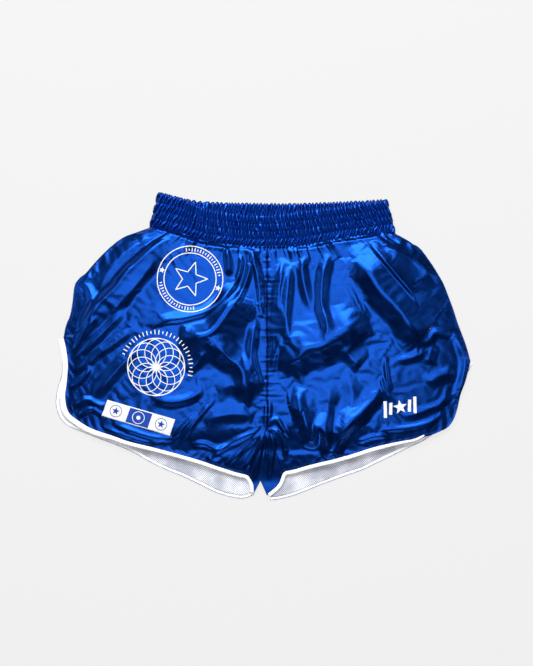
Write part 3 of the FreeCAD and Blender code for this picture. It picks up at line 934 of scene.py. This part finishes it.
def cutOf(rows, ease):
    # the flat cut: width, length and area inside the outline, with the cloth that the folds take up
    flat = rows[..., :2] * mm * ease
    edge = np.vstack([flat[0], flat[1:, -1], flat[-1, -2::-1], flat[-2:0:-1, 0]])
    ahead = np.roll(edge, -1, 0)
    area = abs(float((edge[:, 0] * ahead[:, 1] - edge[:, 1] * ahead[:, 0]).sum())) / 2
    return {"flat": tuple(float(v) for v in np.ptp(edge, 0)), "area": area}


def faceUp(piece):
    mesh = piece.data
    total = sum(p.normal.z * p.area for p in mesh.polygons)
    if total < 0:
        mesh.flip_normals()
    return piece


settling = {
    "step": 2, "frames": 22, "quality": 6,                   # points skipped, and length of the trial
    "mass": 0.12, "stretch": 18, "shear": 8, "bending": 2.5, "gravity": 0.15,
    "extraCloth": 0.005, "hold": 0.18,                       # spare cloth, and the hold on its first place
    "share": 0.8, "room": 3.6,                               # of the shift kept, and the least height left
}


def settled(rows):
    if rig.quick():
        return rows
    step = settling["step"]
    down = np.unique(np.append(np.arange(0, rows.shape[0], step), rows.shape[0] - 1))
    across = np.unique(np.append(np.arange(0, rows.shape[1], step), rows.shape[1] - 1))
    coarse = rows[np.ix_(down, across)]
    trial = gridObject("settleTrial", coarse, blueSatin)
    group = trial.vertex_groups.new(name="held")
    m, n = coarse.shape[:2]
    for i in range(m):
        for j in range(n):
            edge = min(i, j, m - 1 - i, n - 1 - j)
            group.add([i * n + j], 1.0 if edge == 0 else settling["hold"], "REPLACE")
    modifier = trial.modifiers.new("cloth", "CLOTH")
    fabric = modifier.settings
    fabric.quality = settling["quality"]
    fabric.mass = settling["mass"]
    fabric.tension_stiffness = fabric.compression_stiffness = settling["stretch"]
    fabric.shear_stiffness = settling["shear"]
    fabric.bending_stiffness = settling["bending"]
    fabric.shrink_min = -settling["extraCloth"]
    fabric.vertex_group_mass = "held"
    fabric.pin_stiffness = 1.0
    fabric.effector_weights.gravity = settling["gravity"]
    modifier.collision_settings.use_collision = False
    modifier.point_cache.frame_end = settling["frames"]
    for frameNumber in range(1, settling["frames"] + 1):
        scene.frame_set(frameNumber)
    evaluated = trial.evaluated_get(bpy.context.evaluated_depsgraph_get())
    points = np.zeros(m * n * 3)
    evaluated.data.vertices.foreach_get("co", points)
    shift = points.reshape(m, n, 3) / mm - coarse
    mesh = trial.data
    bpy.data.objects.remove(trial)
    bpy.data.meshes.remove(mesh)
    scene.frame_set(1)
    everyRow, everyColumn = np.arange(rows.shape[0]), np.arange(rows.shape[1])
    wide = np.stack([[np.interp(everyColumn, across, row) for row in shift[..., k]] for k in range(3)], -1)
    full = np.stack([[np.interp(everyRow, down, wide[:, j, k]) for j in everyColumn] for k in range(3)], -1)
    full = full.transpose(1, 0, 2)
    print("settled, largest shift in mm", round(float(np.abs(full).max()), 2))
    full *= settling["share"]
    full[..., 2] = np.maximum(full[..., 2], np.minimum(0, settling["room"] - rows[..., 2]))
    return rows + full


satinPieces, frontSurface, linings, cuts = {}, {}, {}, {}
for leg in (rightLeg, leftLeg):
    name = leg["name"]
    rows = settled(frontPanelRows(leg, cloth["across"], cloth["down"]))
    frontSurface[name] = rows
    piece = faceUp(gridObject(f"frontPanel.{name}", rows, blueSatin, uv=rows[..., :2]))
    thicken(piece, cloth["satinThickness"])
    satinPieces[name] = piece
    under = rows[::2, ::2].copy()
    under[..., 2] -= cloth["liningBelow"]
    under[-1] = under[-1] + (under[-2] - under[-1]) * 0.6
    lining = faceUp(gridObject(f"frontLining.{name}", under, whiteKnit, uv=under[..., :2]))
    thicken(lining, cloth["liningThickness"])
    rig.replaces(piece, f"front_panel_{name}", f"front_panel_corner_{name}")
    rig.replaces(lining, f"front_lining_{name}", f"front_lining_corner_{name}")
    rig.slot(piece, "satin")
    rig.slot(lining, "lining_knit")
    blendCorner(piece, name)
    blendCorner(lining, name)
    linings[name] = lining
    cuts[name] = cutOf(rows, cloth["frontEase"])
    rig.sheet(lining, held="laid", rests_on=[f"back_lining_{name}"], **cutOf(under, cloth["frontEase"]))
print("front panels made")

# back panels and their lining

backPieces = {}
back = {
    "across": 150, "down": 170, "top": 0.85, "waves": [1.0, 0.5], "size": [34, 13], "gathers": 1.1,
    "liningAbove": 0.95, "liningWaves": 1.3, "satinThickness": 0.8, "liningThickness": 0.5,
}

for leg in (rightLeg, leftLeg):
    name = leg["name"]
    flat = patch(*legEdges(leg, plan["bandLowBack"], "backHem"), back["across"], back["down"])
    x, y = flat[..., 0], flat[..., 1]
    fromBand = lengthDown(flat)
    lift = sum(size * (1 + unevenness(seed, x + 0.6 * y * leg["sign"], 0.45 * y, wide)) / 2
               for size, wide, seed in zip(back["waves"], back["size"], (9, 14)))
    gathered = ripple(rippleLine(61), x / 6.5 + 200) + ripple(rippleLine(62), x / 15 + 200)
    lift += back["gathers"] * np.maximum(gathered, 0) * np.exp(-fromBand / 38)
    lift *= 1 - np.exp(-((x - seamX) / 3) ** 2)
    piece = faceUp(gridObject(f"backPanel.{name}", np.dstack([flat, back["top"] + lift]), blueSatin, uv=flat))
    thicken(piece, back["satinThickness"])
    above = np.dstack([flat, back["top"] + back["liningAbove"] + lift * back["liningWaves"]])
    lining = faceUp(gridObject(f"backLining.{name}", above, whiteKnit, uv=flat))
    thicken(lining, back["liningThickness"])
    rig.replaces(piece, f"back_panel_{name}")
    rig.replaces(lining, f"back_lining_{name}")
    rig.slot(piece, "satin")
    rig.slot(lining, "lining_knit")
    blendFold(piece)
    blendFold(lining)
    cut = cutOf(flat, cloth["backEase"])
    backPieces[name] = (piece, cut)
    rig.sheet(lining, held="laid", rests_on=[piece], **cut)
print("back panels made")

# crotch gusset: an upper leaf, the fold between the legs and a lower leaf

leaf = {
    "sink": 0.25, "foldOut": 1.2, "lowerHeight": 0.9, "tip": 0.004, "thickness": 0.7,
    "cut": (0.062, 0.190), "area": 0.0060,
}


def gussetRows():
    stops = [rightLeg["inner"], tails["rightTuck"], tails["rightTip"], tails["notch"], tails["leftTip"],
             tails["leftTuck"], leftLeg["inner"]]
    runs = [evenly([a, b], n) for a, b, n in zip(stops, stops[1:], (10, 10, 16, 16, 12, 12))]
    edge = np.vstack([runs[0]] + [r[1:] for r in runs[1:]])
    apex, low = np.array(crotch), leaf["lowerHeight"]
    tip = leaf["tip"]
    rows = []
    for v in np.linspace(0.0, 1, 60):
        p = apex + (edge - apex) * (tip + (1 - tip) * v)
        z = restingHeight(p[:, 0], p[:, 1])
        rows.append(np.column_stack([p, z - leaf["sink"]]))
    topZ = rows[-1][:, 2]
    out = (edge - apex) / np.linalg.norm(edge - apex, axis=1)[:, None]
    for turn in np.linspace(0, math.pi, 8)[1:]:
        z = (topZ + low) / 2 + (topZ - low) / 2 * math.cos(turn)
        rows.append(np.column_stack([edge + out * leaf["foldOut"] * math.sin(turn), z]))
    for v in np.linspace(1, 0.0, 16)[1:]:
        p = apex + (edge - apex) * (tip + (1 - tip) * v)
        rows.append(np.column_stack([p, np.full(len(p), low)]))
    return np.array(rows)


rows = gussetRows()
gusset = gridObject("crotchGusset", rows, blueSatin, uv=rows[..., :2])
if sum(p.normal.z * p.area for p in list(gusset.data.polygons)[:4000]) < 0:
    gusset.data.flip_normals()
thicken(gusset, leaf["thickness"])
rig.replaces(gusset, "crotch_gusset")
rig.slot(gusset, "satin")
blendFold(gusset, reach=joints["gussetReach"])
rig.sheet(gusset, flat=leaf["cut"], area=leaf["area"], held="folded",
         rests_on=["back_panel_right", "back_panel_left"])

# bindings

def sweep(name, path, heights, outward, section, material):
    # path and heights run along the edge, and section is (out, up) round the tape at each point of it
    n, m = section.shape[:2]
    ring = np.zeros((n, m, 3))
    ring[..., :2] = path[:, None, :] + outward[:, None, :] * section[..., :1]
    ring[..., 2] = heights[:, None] + section[..., 1]
    along = lengthAlong(path)
    uv = np.stack(np.broadcast_arrays(along[:, None], np.linspace(0, 12, m)[None, :]), -1)
    piece = gridObject(name, ring, material, closed=True, uv=uv)
    work = bmesh.new()
    work.from_mesh(piece.data)
    work.verts.ensure_lookup_table()
    for first in (0, (n - 1) * m):
        work.faces.new([work.verts[first + i] for i in range(m)])
    bmesh.ops.recalc_face_normals(work, faces=work.faces)
    work.to_mesh(piece.data)
    work.free()
    return piece


def tapeSection(width, thickness, inset):
    turn = np.linspace(0, 2 * math.pi, 20, endpoint=False)
    out = np.sign(np.cos(turn)) * np.abs(np.cos(turn)) ** 0.7 * width / 2 + width / 2 - inset
    up = np.sign(np.sin(turn)) * np.abs(np.sin(turn)) ** 0.8 * thickness / 2
    return np.column_stack([out, up])


binding = {
    "width": 7.4, "thickness": 2.4, "narrower": 0.3, "pucker": 0.25, "puckerPitch": 4.2, "overlap": 0.5,
    "backWidth": 5.0, "backThickness": 1.9, "backHeight": 1.4, "backPucker": 0.15,
    "rolledUntil": (228, -126), "rolledInset": 10, "rolledDrop": 1.9, "rolledFlat": 0.55, "tipNarrower": 0.5,
}


def surfaceTree(pieces):
    verts, faces = [], []
    for piece in pieces:
        base = len(verts)
        verts += [v.co.copy() for v in piece.data.vertices]
        faces += [[base + i for i in p.vertices] for p in piece.data.polygons]
    return BVHTree.FromPolygons(verts, faces)


frontTree = surfaceTree([satinPieces["right"], satinPieces["left"], gusset])


def dropOn(x, y):
    hit = frontTree.ray_cast(Vector((x * mm, y * mm, 0.2)), Vector((0, 0, -1)))[0]
    if hit is None:
        hit = frontTree.find_nearest(Vector((x * mm, y * mm, 0.012)))[0]
    return hit.z / mm


def edgeHeights(path):
    z = np.array([dropOn(x, y) for x, y in path])
    return np.convolve(np.pad(z, 6, mode="edge"), np.ones(13) / 13, mode="valid")


def frontBinding(leg):
    name = leg["name"]
    hem = hemLine(leg, "frontHem", 420)
    tail = [leg["inner"], tails[f"{name}Tuck"], tails[f"{name}Tip"]]
    path = np.vstack([hem, smoothPath(tail, 40)[1:]])
    path = smoothPath(path[::6], 520)
    out = outwardOf(path, leg["sign"])
    heights = edgeHeights(path - out * 1.0)
    if leg is leftLeg:
        heights = np.minimum(heights, np.minimum(edgeHeights(path - out * 6), edgeHeights(path - out * 11)))
    n = len(path)
    along = np.linspace(0, 1, n)
    corner = np.argmin(np.linalg.norm(path - np.array(leg["frontHem"][leg["hemStart"]]), axis=1)) / n
    wide = 1 - binding["narrower"] * eased((along - corner) / 0.2)
    section = np.repeat(tapeSection(binding["width"], binding["thickness"], 0)[None], n, 0)
    section[..., 0] = section[..., 0] * wide[:, None] - binding["overlap"]
    length = lengthAlong(path)[-1]
    wave = ripple(rippleLine(31), along * length / binding["puckerPitch"])
    section[..., 1] += binding["pucker"] * wave[:, None]
    if leg is leftLeg:
        end = np.argmin(np.linalg.norm(path - np.array(binding["rolledUntil"]), axis=1))
        rolled = eased((end + 30 - np.arange(n)) / 60)
        section[..., 0] *= 1 - binding["tipNarrower"] * eased((end + 110 - np.arange(n)) / 110)[:, None]
        section[..., 0] -= binding["rolledInset"] * rolled[:, None]
        section[..., 1] *= 1 - binding["rolledFlat"] * rolled[:, None]
        section[..., 1] -= binding["rolledDrop"] * rolled[:, None]
    tape = sweep(f"frontBinding.{name}", path, heights, out, section, whiteTape)
    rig.replaces(tape, f"front_binding_{name}", f"front_binding_corner_{name}")
    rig.slot(tape, "binding_tape")
    blendCorner(tape, name)
    return tape


def backBinding(leg):
    name = leg["name"]
    path = smoothPath(leg["backHem"], 480)
    out = outwardOf(path, leg["sign"])
    heights = np.full(len(path), binding["backHeight"])
    section = tapeSection(binding["backWidth"], binding["backThickness"], binding["overlap"])
    section = np.repeat(section[None], len(path), 0)
    length = lengthAlong(path)[-1]
    wave = ripple(rippleLine(33), np.linspace(0, length / binding["puckerPitch"], len(path)))
    section[..., 1] += binding["backPucker"] * wave[:, None]
    tape = sweep(f"backBinding.{name}", path, heights, out, section, whiteTape)
    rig.replaces(tape, f"back_binding_{name}")
    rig.slot(tape, "binding_tape")
    blendFold(tape)
    return tape


frontTapes, backTapes = {}, {}
for leg in (rightLeg, leftLeg):
    frontTapes[leg["name"]] = frontBinding(leg)
    backTapes[leg["name"]] = backBinding(leg)
print("bindings made")

# waistband

waistband = buildWaistband(blueSatin)
bakeNodes(waistband, pleatTree(), {"pitch": band["pleatPitch"], "depth": band["pleatDepth"] * mm,
                                    "pinch": band["rowPinch"] * mm, "seed": 4.0, "cloth": blueSatin})
if sum(p.normal.z * p.area for p in waistband.data.polygons if p.center.z > 0.016) < 0:
    waistband.data.flip_normals()
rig.replaces(waistband, *[f"{kind}_{place}_{side}" for kind in ("waistband", "waist_elastic")
                         for place in ("front", "back") for side in ("right", "left")])
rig.slot(waistband, "satin")
for v in waistband.data.vertices:
    v.co.z = max(v.co.z, band["lowest"] * mm)
blendFold(waistband)
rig.sheet(waistband, flat=band["cut"], held="gathered",
         rests_on=["front_panel_right", "front_panel_left", "back_panel_right", "back_panel_left"])
print("waistband made")

# embroidery, woven label and stitching

badge = {
    "centre": (-104.3, 93.3), "turn": -18, "outer": 46.0, "inner": 36.5, "line": 1.6,
    "star": 25, "sideStar": 4.6, "ticks": 17, "tickRuns": ((25, 115), (205, 295)), "tickLength": 5.0,
}
rosette = {
    "centre": (-151.9, -29.9), "turn": -12, "ring": 40.2, "ringLine": 1.5, "petals": 12, "line": 1.25,
    "tickRing": 49.0, "ticks": 27, "tickLength": 6.2, "tickRun": (158, -14),
}
label = {
    "corners": [(-220.5, -76.1), (-125.3, -103.4), (-133.0, -126.5), (-228.9, -98.5)], "raise": 0.7,
    "markRaise": 0.95, "cut": (0.099, 0.0265), "area": 0.0026,
}
cornerMark = {"centre": (190.4, -86.4), "turn": 9, "width": 48, "height": 23, "raise": 0.9}
stitching = {"pitch": 3.0, "length": 2.3, "thick": 0.55, "edgePitch": 2.2, "edgeThick": 0.95, "tackRuns": 9}


class Drawing:
    def __init__(self):
        self.verts, self.faces = [], []

    def line(self, points, width, raised, closed=False):
        path = np.array(points, float)
        ahead = (np.roll(path, -1, 0) - np.roll(path, 1, 0)) if closed else np.gradient(path, axis=0)
        ahead /= np.linalg.norm(ahead, axis=1)[:, None]
        side = np.column_stack([-ahead[:, 1], ahead[:, 0]])
        base, n = len(self.verts), len(path)
        for p, q in zip(path, side):
            for share, lift in ((-0.5, -0.3), (-0.36, raised), (0.36, raised), (0.5, -0.3)):
                x, y = p + q * width * share
                self.verts.append((x * mm, y * mm, (dropOn(x, y) + lift) * mm))
        for i in range(n if closed else n - 1):
            j = (i + 1) % n
            for k in range(3):
                here, there = base + i * 4 + k, base + j * 4 + k
                self.faces.append((here, there, there + 1, here + 1))

    def fill(self, outline, raised):
        ring = np.array(outline, float)
        centre = ring.mean(0)
        base, n = len(self.verts), len(ring)
        for share, lift in ((1.0, -0.3), (0.96, raised), (0.6, raised), (0.25, raised)):
            for x, y in centre + (ring - centre) * share:
                self.verts.append((x * mm, y * mm, (dropOn(x, y) + lift) * mm))
        self.verts.append((centre[0] * mm, centre[1] * mm, (dropOn(*centre) + raised) * mm))
        for k in range(3):
            for i in range(n):
                j = (i + 1) % n
                here = base + k * n
                self.faces.append((here + i, here + j, here + n + j, here + n + i))
        for i in range(n):
            self.faces.append((base + 3 * n + i, base + 3 * n + (i + 1) % n, base + 4 * n))

    def piece(self, name, material):
        mesh = bpy.data.meshes.new(name)
        mesh.from_pydata(self.verts, [], self.faces)
        down = [p.index for p in mesh.polygons if p.normal.z < 0]
        if down:
            work = bmesh.new()
            work.from_mesh(mesh)
            work.faces.ensure_lookup_table()
            bmesh.ops.reverse_faces(work, faces=[work.faces[i] for i in down])
            work.to_mesh(mesh)
            work.free()
        mesh.materials.append(material)
        made = bpy.data.objects.new(name, mesh)
        scene.collection.objects.link(made)
        return made


def ringPoints(centre, radius, count, start=0.0, end=360.0):
    whole = abs(end - start) >= 360
    angle = np.radians(np.linspace(start, end, count, endpoint=not whole))
    return np.column_stack([centre[0] + radius * np.cos(angle), centre[1] + radius * np.sin(angle)])


def starPoints(centre, radius, turn, inner=0.42, perSide=1):
    points = []
    for i in range(10):
        angle = math.radians(90 + turn + 36 * i)
        r = radius if i % 2 == 0 else radius * inner
        points.append((centre[0] + r * math.cos(angle), centre[1] + r * math.sin(angle)))
    points = np.array(points)
    if perSide == 1:
        return points
    ahead = np.roll(points, -1, 0)
    return np.vstack([np.linspace(a, b, perSide, endpoint=False) for a, b in zip(points, ahead)])


def ticks(drawing, centre, radius, length, count, first, last, width):
    for i, angle in enumerate(np.radians(np.linspace(first, last, count))):
        ray = np.array([math.cos(angle), math.sin(angle)])
        reach = length * (1.0 if i % 3 else 0.6)
        start, end = centre + ray * (radius - reach / 2), centre + ray * (radius + reach / 2)
        drawing.line(np.linspace(start, end, 4), width, 0.45)


drawing = Drawing()
centre = np.array(badge["centre"])
for radius in (badge["outer"], badge["inner"]):
    drawing.line(ringPoints(centre, radius, 150), badge["line"], 0.5, closed=True)
between = (badge["outer"] + badge["inner"]) / 2
for first, last in badge["tickRuns"]:
    ticks(drawing, centre, between, badge["tickLength"], badge["ticks"], first + badge["turn"],
          last + badge["turn"], badge["line"])
drawing.line(starPoints(centre, badge["star"], badge["turn"], perSide=8), badge["line"], 0.5, closed=True)
for sign in (-1, 1):
    ray = np.radians(badge["turn"] + 90 - 90 * sign)
    way = np.array([math.cos(ray), math.sin(ray)])
    drawing.fill(starPoints(centre + way * between, badge["sideStar"], badge["turn"]), 0.5)
roundEmblem = drawing.piece("roundBadge", whiteThread)
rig.replaces(roundEmblem, "round_emblem")
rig.slot(roundEmblem, "embroidery")
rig.ride(roundEmblem, "right_half")

drawing = Drawing()
centre = np.array(rosette["centre"])
drawing.line(ringPoints(centre, rosette["ring"], 140), rosette["ringLine"], 0.5, closed=True)
for i in range(rosette["petals"]):
    angle = math.radians(360 / rosette["petals"] * i + rosette["turn"])
    hub = centre + np.array([math.cos(angle), math.sin(angle)]) * rosette["ring"] / 2
    drawing.line(ringPoints(hub, rosette["ring"] / 2, 72), rosette["line"], 0.45, closed=True)
ticks(drawing, centre, rosette["tickRing"], rosette["tickLength"], rosette["ticks"], *rosette["tickRun"], 1.6)
rosetteEmblem = drawing.piece("rosetteBadge", whiteThread)
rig.replaces(rosetteEmblem, "rosette_emblem")
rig.slot(rosetteEmblem, "embroidery")
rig.ride(rosetteEmblem, "right_half")

drawing = Drawing()
centre = np.array(cornerMark["centre"])
turn = math.radians(cornerMark["turn"])
along, upright = np.array([math.cos(turn), math.sin(turn)]), np.array([-math.sin(turn), math.cos(turn)])
wide, tall = cornerMark["width"] / 2, cornerMark["height"] / 2
for sign in (-1, 1):
    for out, share in ((wide - 2.8, 1.0), (wide - 10.6, 0.72)):
        foot = centre + along * (sign * out - 1.5) - upright * tall * share
        head = centre + along * (sign * out + 1.5) + upright * tall * share
        drawing.line(np.linspace(foot, head, 8), 5.2, cornerMark["raise"])
drawing.fill(starPoints(centre, 10.5, cornerMark["turn"], perSide=4), cornerMark["raise"])
cornerEmblem = drawing.piece("cornerMark", whiteThread)
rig.replaces(cornerEmblem, "corner_emblem")
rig.slot(cornerEmblem, "embroidery")
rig.ride(cornerEmblem, "left_half")


def onLabel(u, v):
    a, b, c, d = (np.array(p) for p in label["corners"])
    return a * (1 - u) * (1 - v) + b * u * (1 - v) + c * u * v + d * (1 - u) * v


def buildLabel():
    wide, tall = 64, 18
    verts, faces, kinds = [], [], []
    for j in range(tall + 1):
        for i in range(wide + 1):
            x, y = onLabel(i / wide, j / tall)
            edge = i in (0, wide) or j in (0, tall)
            lift = label["raise"] - 0.5 if edge else label["raise"]
            verts.append((x * mm, y * mm, (dropOn(x, y) + lift) * mm))
    for j in range(tall):
        for i in range(wide):
            a = j * (wide + 1) + i
            faces.append((a, a + wide + 1, a + wide + 2, a + 1))
            kinds.append(1 if wide / 3 + 0.5 < i + 0.5 < 2 * wide / 3 + 0.5 and 0 < j < tall - 1 else 0)
    mesh = bpy.data.meshes.new("wovenLabel")
    mesh.from_pydata(verts, [], faces)
    mesh.materials.append(whiteWeave)
    mesh.materials.append(blueWeave)
    mesh.polygons.foreach_set("material_index", kinds)
    made = bpy.data.objects.new("wovenLabel", mesh)
    scene.collection.objects.link(made)
    return faceUp(made)


whiteWeave = threadMaterial("whiteWeave", (0.88, 0.89, 0.92), 0.7)
blueWeave = threadMaterial("blueWeave", (0.004, 0.055, 0.40), 0.6)
wovenLabel = buildLabel()
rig.replaces(wovenLabel, "woven_label")
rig.slot(wovenLabel, "label_weave")
blendCorner(wovenLabel, "right")

(ax, ay), (bx, by) = label["corners"][:2]
cellTurn = math.degrees(math.atan2(by - ay, bx - ax))
blueMarks, whiteMarks = Drawing(), Drawing()
for u in (1 / 6, 5 / 6):
    centre = onLabel(u, 0.5)
    blueMarks.line(ringPoints(centre, 8.2, 48), 1.1, label["markRaise"], closed=True)
    blueMarks.fill(starPoints(centre, 6.0, cellTurn, perSide=2), label["markRaise"])
centre = onLabel(0.5, 0.5)
whiteMarks.line(ringPoints(centre, 8.4, 48), 1.2, label["markRaise"], closed=True)
whiteMarks.fill(ringPoints(centre, 3.0, 20), label["markRaise"])
labelMarks = []
for drawn, name, material in ((blueMarks, "labelBlueMarks", blueThread),
                              (whiteMarks, "labelWhiteMarks", whiteThread)):
    piece = drawn.piece(name, material)
    labelMarks.append(piece)
    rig.slot(piece, "label_weave")
    blendCorner(piece, "right")

stitches = stitchTree()


def stitchRow(name, paths, thread, lift=0.15, pitch=stitching["pitch"], thick=stitching["thick"]):
    verts, edges = [], []
    for points in paths:
        base = len(verts)
        for p in points:
            z = p[2] if len(p) > 2 else dropOn(p[0], p[1]) + lift
            verts.append((p[0] * mm, p[1] * mm, z * mm))
        edges += [(base + i, base + i + 1) for i in range(len(points) - 1)]
    mesh = bpy.data.meshes.new(name)
    mesh.from_pydata(verts, edges, [])
    made = bpy.data.objects.new(name, mesh)
    scene.collection.objects.link(made)
    bakeNodes(made, stitches, {"pitch": pitch * mm, "length": stitching["length"] * mm,
                               "thick": thick * mm, "seed": 2, "thread": thread})
    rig.slot(made, "thread")
    return made


edge = [onLabel(*c) for c in ((0.015, 0.05), (0.985, 0.05), (0.985, 0.95), (0.015, 0.95), (0.015, 0.05))]
loop = np.vstack([np.linspace(a, b, 30)[:-1] for a, b in zip(edge, edge[1:])] + [edge[-1]])
loop = [(x, y, dropOn(x, y) + label["raise"] + 0.1) for x, y in loop]
labelStitches = stitchRow("labelStitches", [loop], whiteThread)
blendCorner(labelStitches, "right")
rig.sheet(wovenLabel, flat=label["cut"], area=label["area"], held="laid", rests_on=["front_panel_right"],
         with_pieces=[labelStitches, *labelMarks])

emblems = {"right": [roundEmblem, rosetteEmblem], "left": [cornerEmblem]}
for leg in (rightLeg, leftLeg):
    name, sign = leg["name"], leg["sign"]
    rows = frontSurface[name]
    besideSeam = rows[10:rows.shape[0] - 12, 2]
    seam = [tuple(p + (0, 0, 0.1)) for p in besideSeam if p[1] > crotch[1] + 4]
    hem = hemLine(leg, "frontHem", 300)
    hem = hem - outwardOf(hem, sign) * 3.4
    made = stitchRow(f"hemStitches.{name}", [[(x, y) for x, y in hem[8:]]], blueThread)
    blendCorner(made, name)
    onPanel = [frontTapes[name], made, *emblems[name]]
    made = stitchRow(f"seamStitches.{name}", [seam], blueThread)
    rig.ride(made, f"{name}_half")
    onPanel.append(made)
    low, high = (np.array(v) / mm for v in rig.box(f"bar_tack_{name}"))
    drawing = Drawing()
    for i in range(stitching["tackRuns"]):
        y = low[1] + (high[1] - low[1]) * (i + 0.5) / stitching["tackRuns"]
        drawing.line(np.linspace((low[0], y), (high[0], y), 6), 1.1, 0.6)
    made = drawing.piece(f"barTack.{name}", blueThread)
    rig.replaces(made, f"bar_tack_{name}")
    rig.slot(made, "thread")
    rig.ride(made, f"{name}_half")
    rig.sheet(satinPieces[name], held="laid", rests_on=[linings[name]], with_pieces=[*onPanel, made],
             **cuts[name])
    hem = smoothPath(leg["backHem"], 400)
    hem = hem + outwardOf(hem, sign) * (binding["backWidth"] - binding["overlap"] - 0.5)
    made = stitchRow(f"edgeStitches.{name}", [[(x, y, 2.0) for x, y in hem[6:]]], blueThread,
                     pitch=stitching["edgePitch"], thick=stitching["edgeThick"])
    blendFold(made)
    piece, cut = backPieces[name]
    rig.sheet(piece, held="laid", with_pieces=[backTapes[name], made], **cut)
print("embroidery, label and stitches made")

# table, lights and camera

studio = {
    "cameraHeight": 2.222, "lens": 85.0, "aim": (0.0028, 0.0177),
    "tableColour": (0.08, 0.08, 0.08), "tableGlow": 0.76,
    "tableReach": 6.0, "tableDrop": 0.0002,
    "world": 0.012,
    "lights": {     # place, width, height and power of each soft light, all of them aimed at the shorts
        "keySoftbox": ((-0.15, 1.55, 1.85), 2.6, 1.1, 88),
        "topPanel": ((0, 0.12, 2.7), 1.9, 1.35, 23),
        "leftFill": ((-2.4, 0.3, 1.2), 0.9, 1.2, 5),
        "rightFill": ((2.4, 0.3, 1.2), 0.9, 1.2, 5),
        "hemFill": ((0, -2.6, 1.05), 2.6, 0.8, 20),
    },
}


def softLight(name, place, width, height, power):
    data = bpy.data.lights.new(name, "AREA")
    data.shape = "RECTANGLE"
    data.size, data.size_y, data.energy = width, height, power
    light = bpy.data.objects.new(name, data)
    light.location = place
    light.rotation_mode = "QUATERNION"
    light.rotation_quaternion = (-Vector(place)).to_track_quat("-Z", "Y")
    scene.collection.objects.link(light)


for name, values in studio["lights"].items():
    softLight(name, *values)

world = bpy.data.worlds.new("studioAir")
world.use_nodes = True
world.node_tree.nodes["Background"].inputs["Color"].default_value = (1, 1, 1, 1)
world.node_tree.nodes["Background"].inputs["Strength"].default_value = studio["world"]
scene.world = world

tableMesh = bpy.data.meshes.new("table")
reach, low = studio["tableReach"], -studio["tableDrop"]
sheet = [(x * reach, y * reach, low) for x, y in ((-1, -1), (1, -1), (1, 1), (-1, 1))]
tableMesh.from_pydata(sheet, [], [(0, 1, 2, 3)])
table = bpy.data.objects.new("table", tableMesh)
scene.collection.objects.link(table)
tableMaterial, tree, shader, add = newMaterial("paleTable")
shader.inputs["Base Color"].default_value = (*studio["tableColour"], 1)
shader.inputs["Roughness"].default_value = 0.9
shader.inputs["Emission Color"].default_value = (1, 1, 1, 1)
shader.inputs["Emission Strength"].default_value = studio["tableGlow"]
tableMesh.materials.append(tableMaterial)
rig.stage(table)

cameraData = bpy.data.cameras.new("camera")
cameraData.lens = studio["lens"]
camera = bpy.data.objects.new("camera", cameraData)
camera.location = (studio["aim"][0], studio["aim"][1], studio["cameraHeight"])
scene.collection.objects.link(camera)
scene.camera = camera
scene.view_settings.view_transform = "Standard"

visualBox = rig.bounds()
with open("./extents.json", "w") as f:
    json.dump({"cad": [list(v) for v in cadBox], "visual": [list(v) for v in visualBox]}, f)
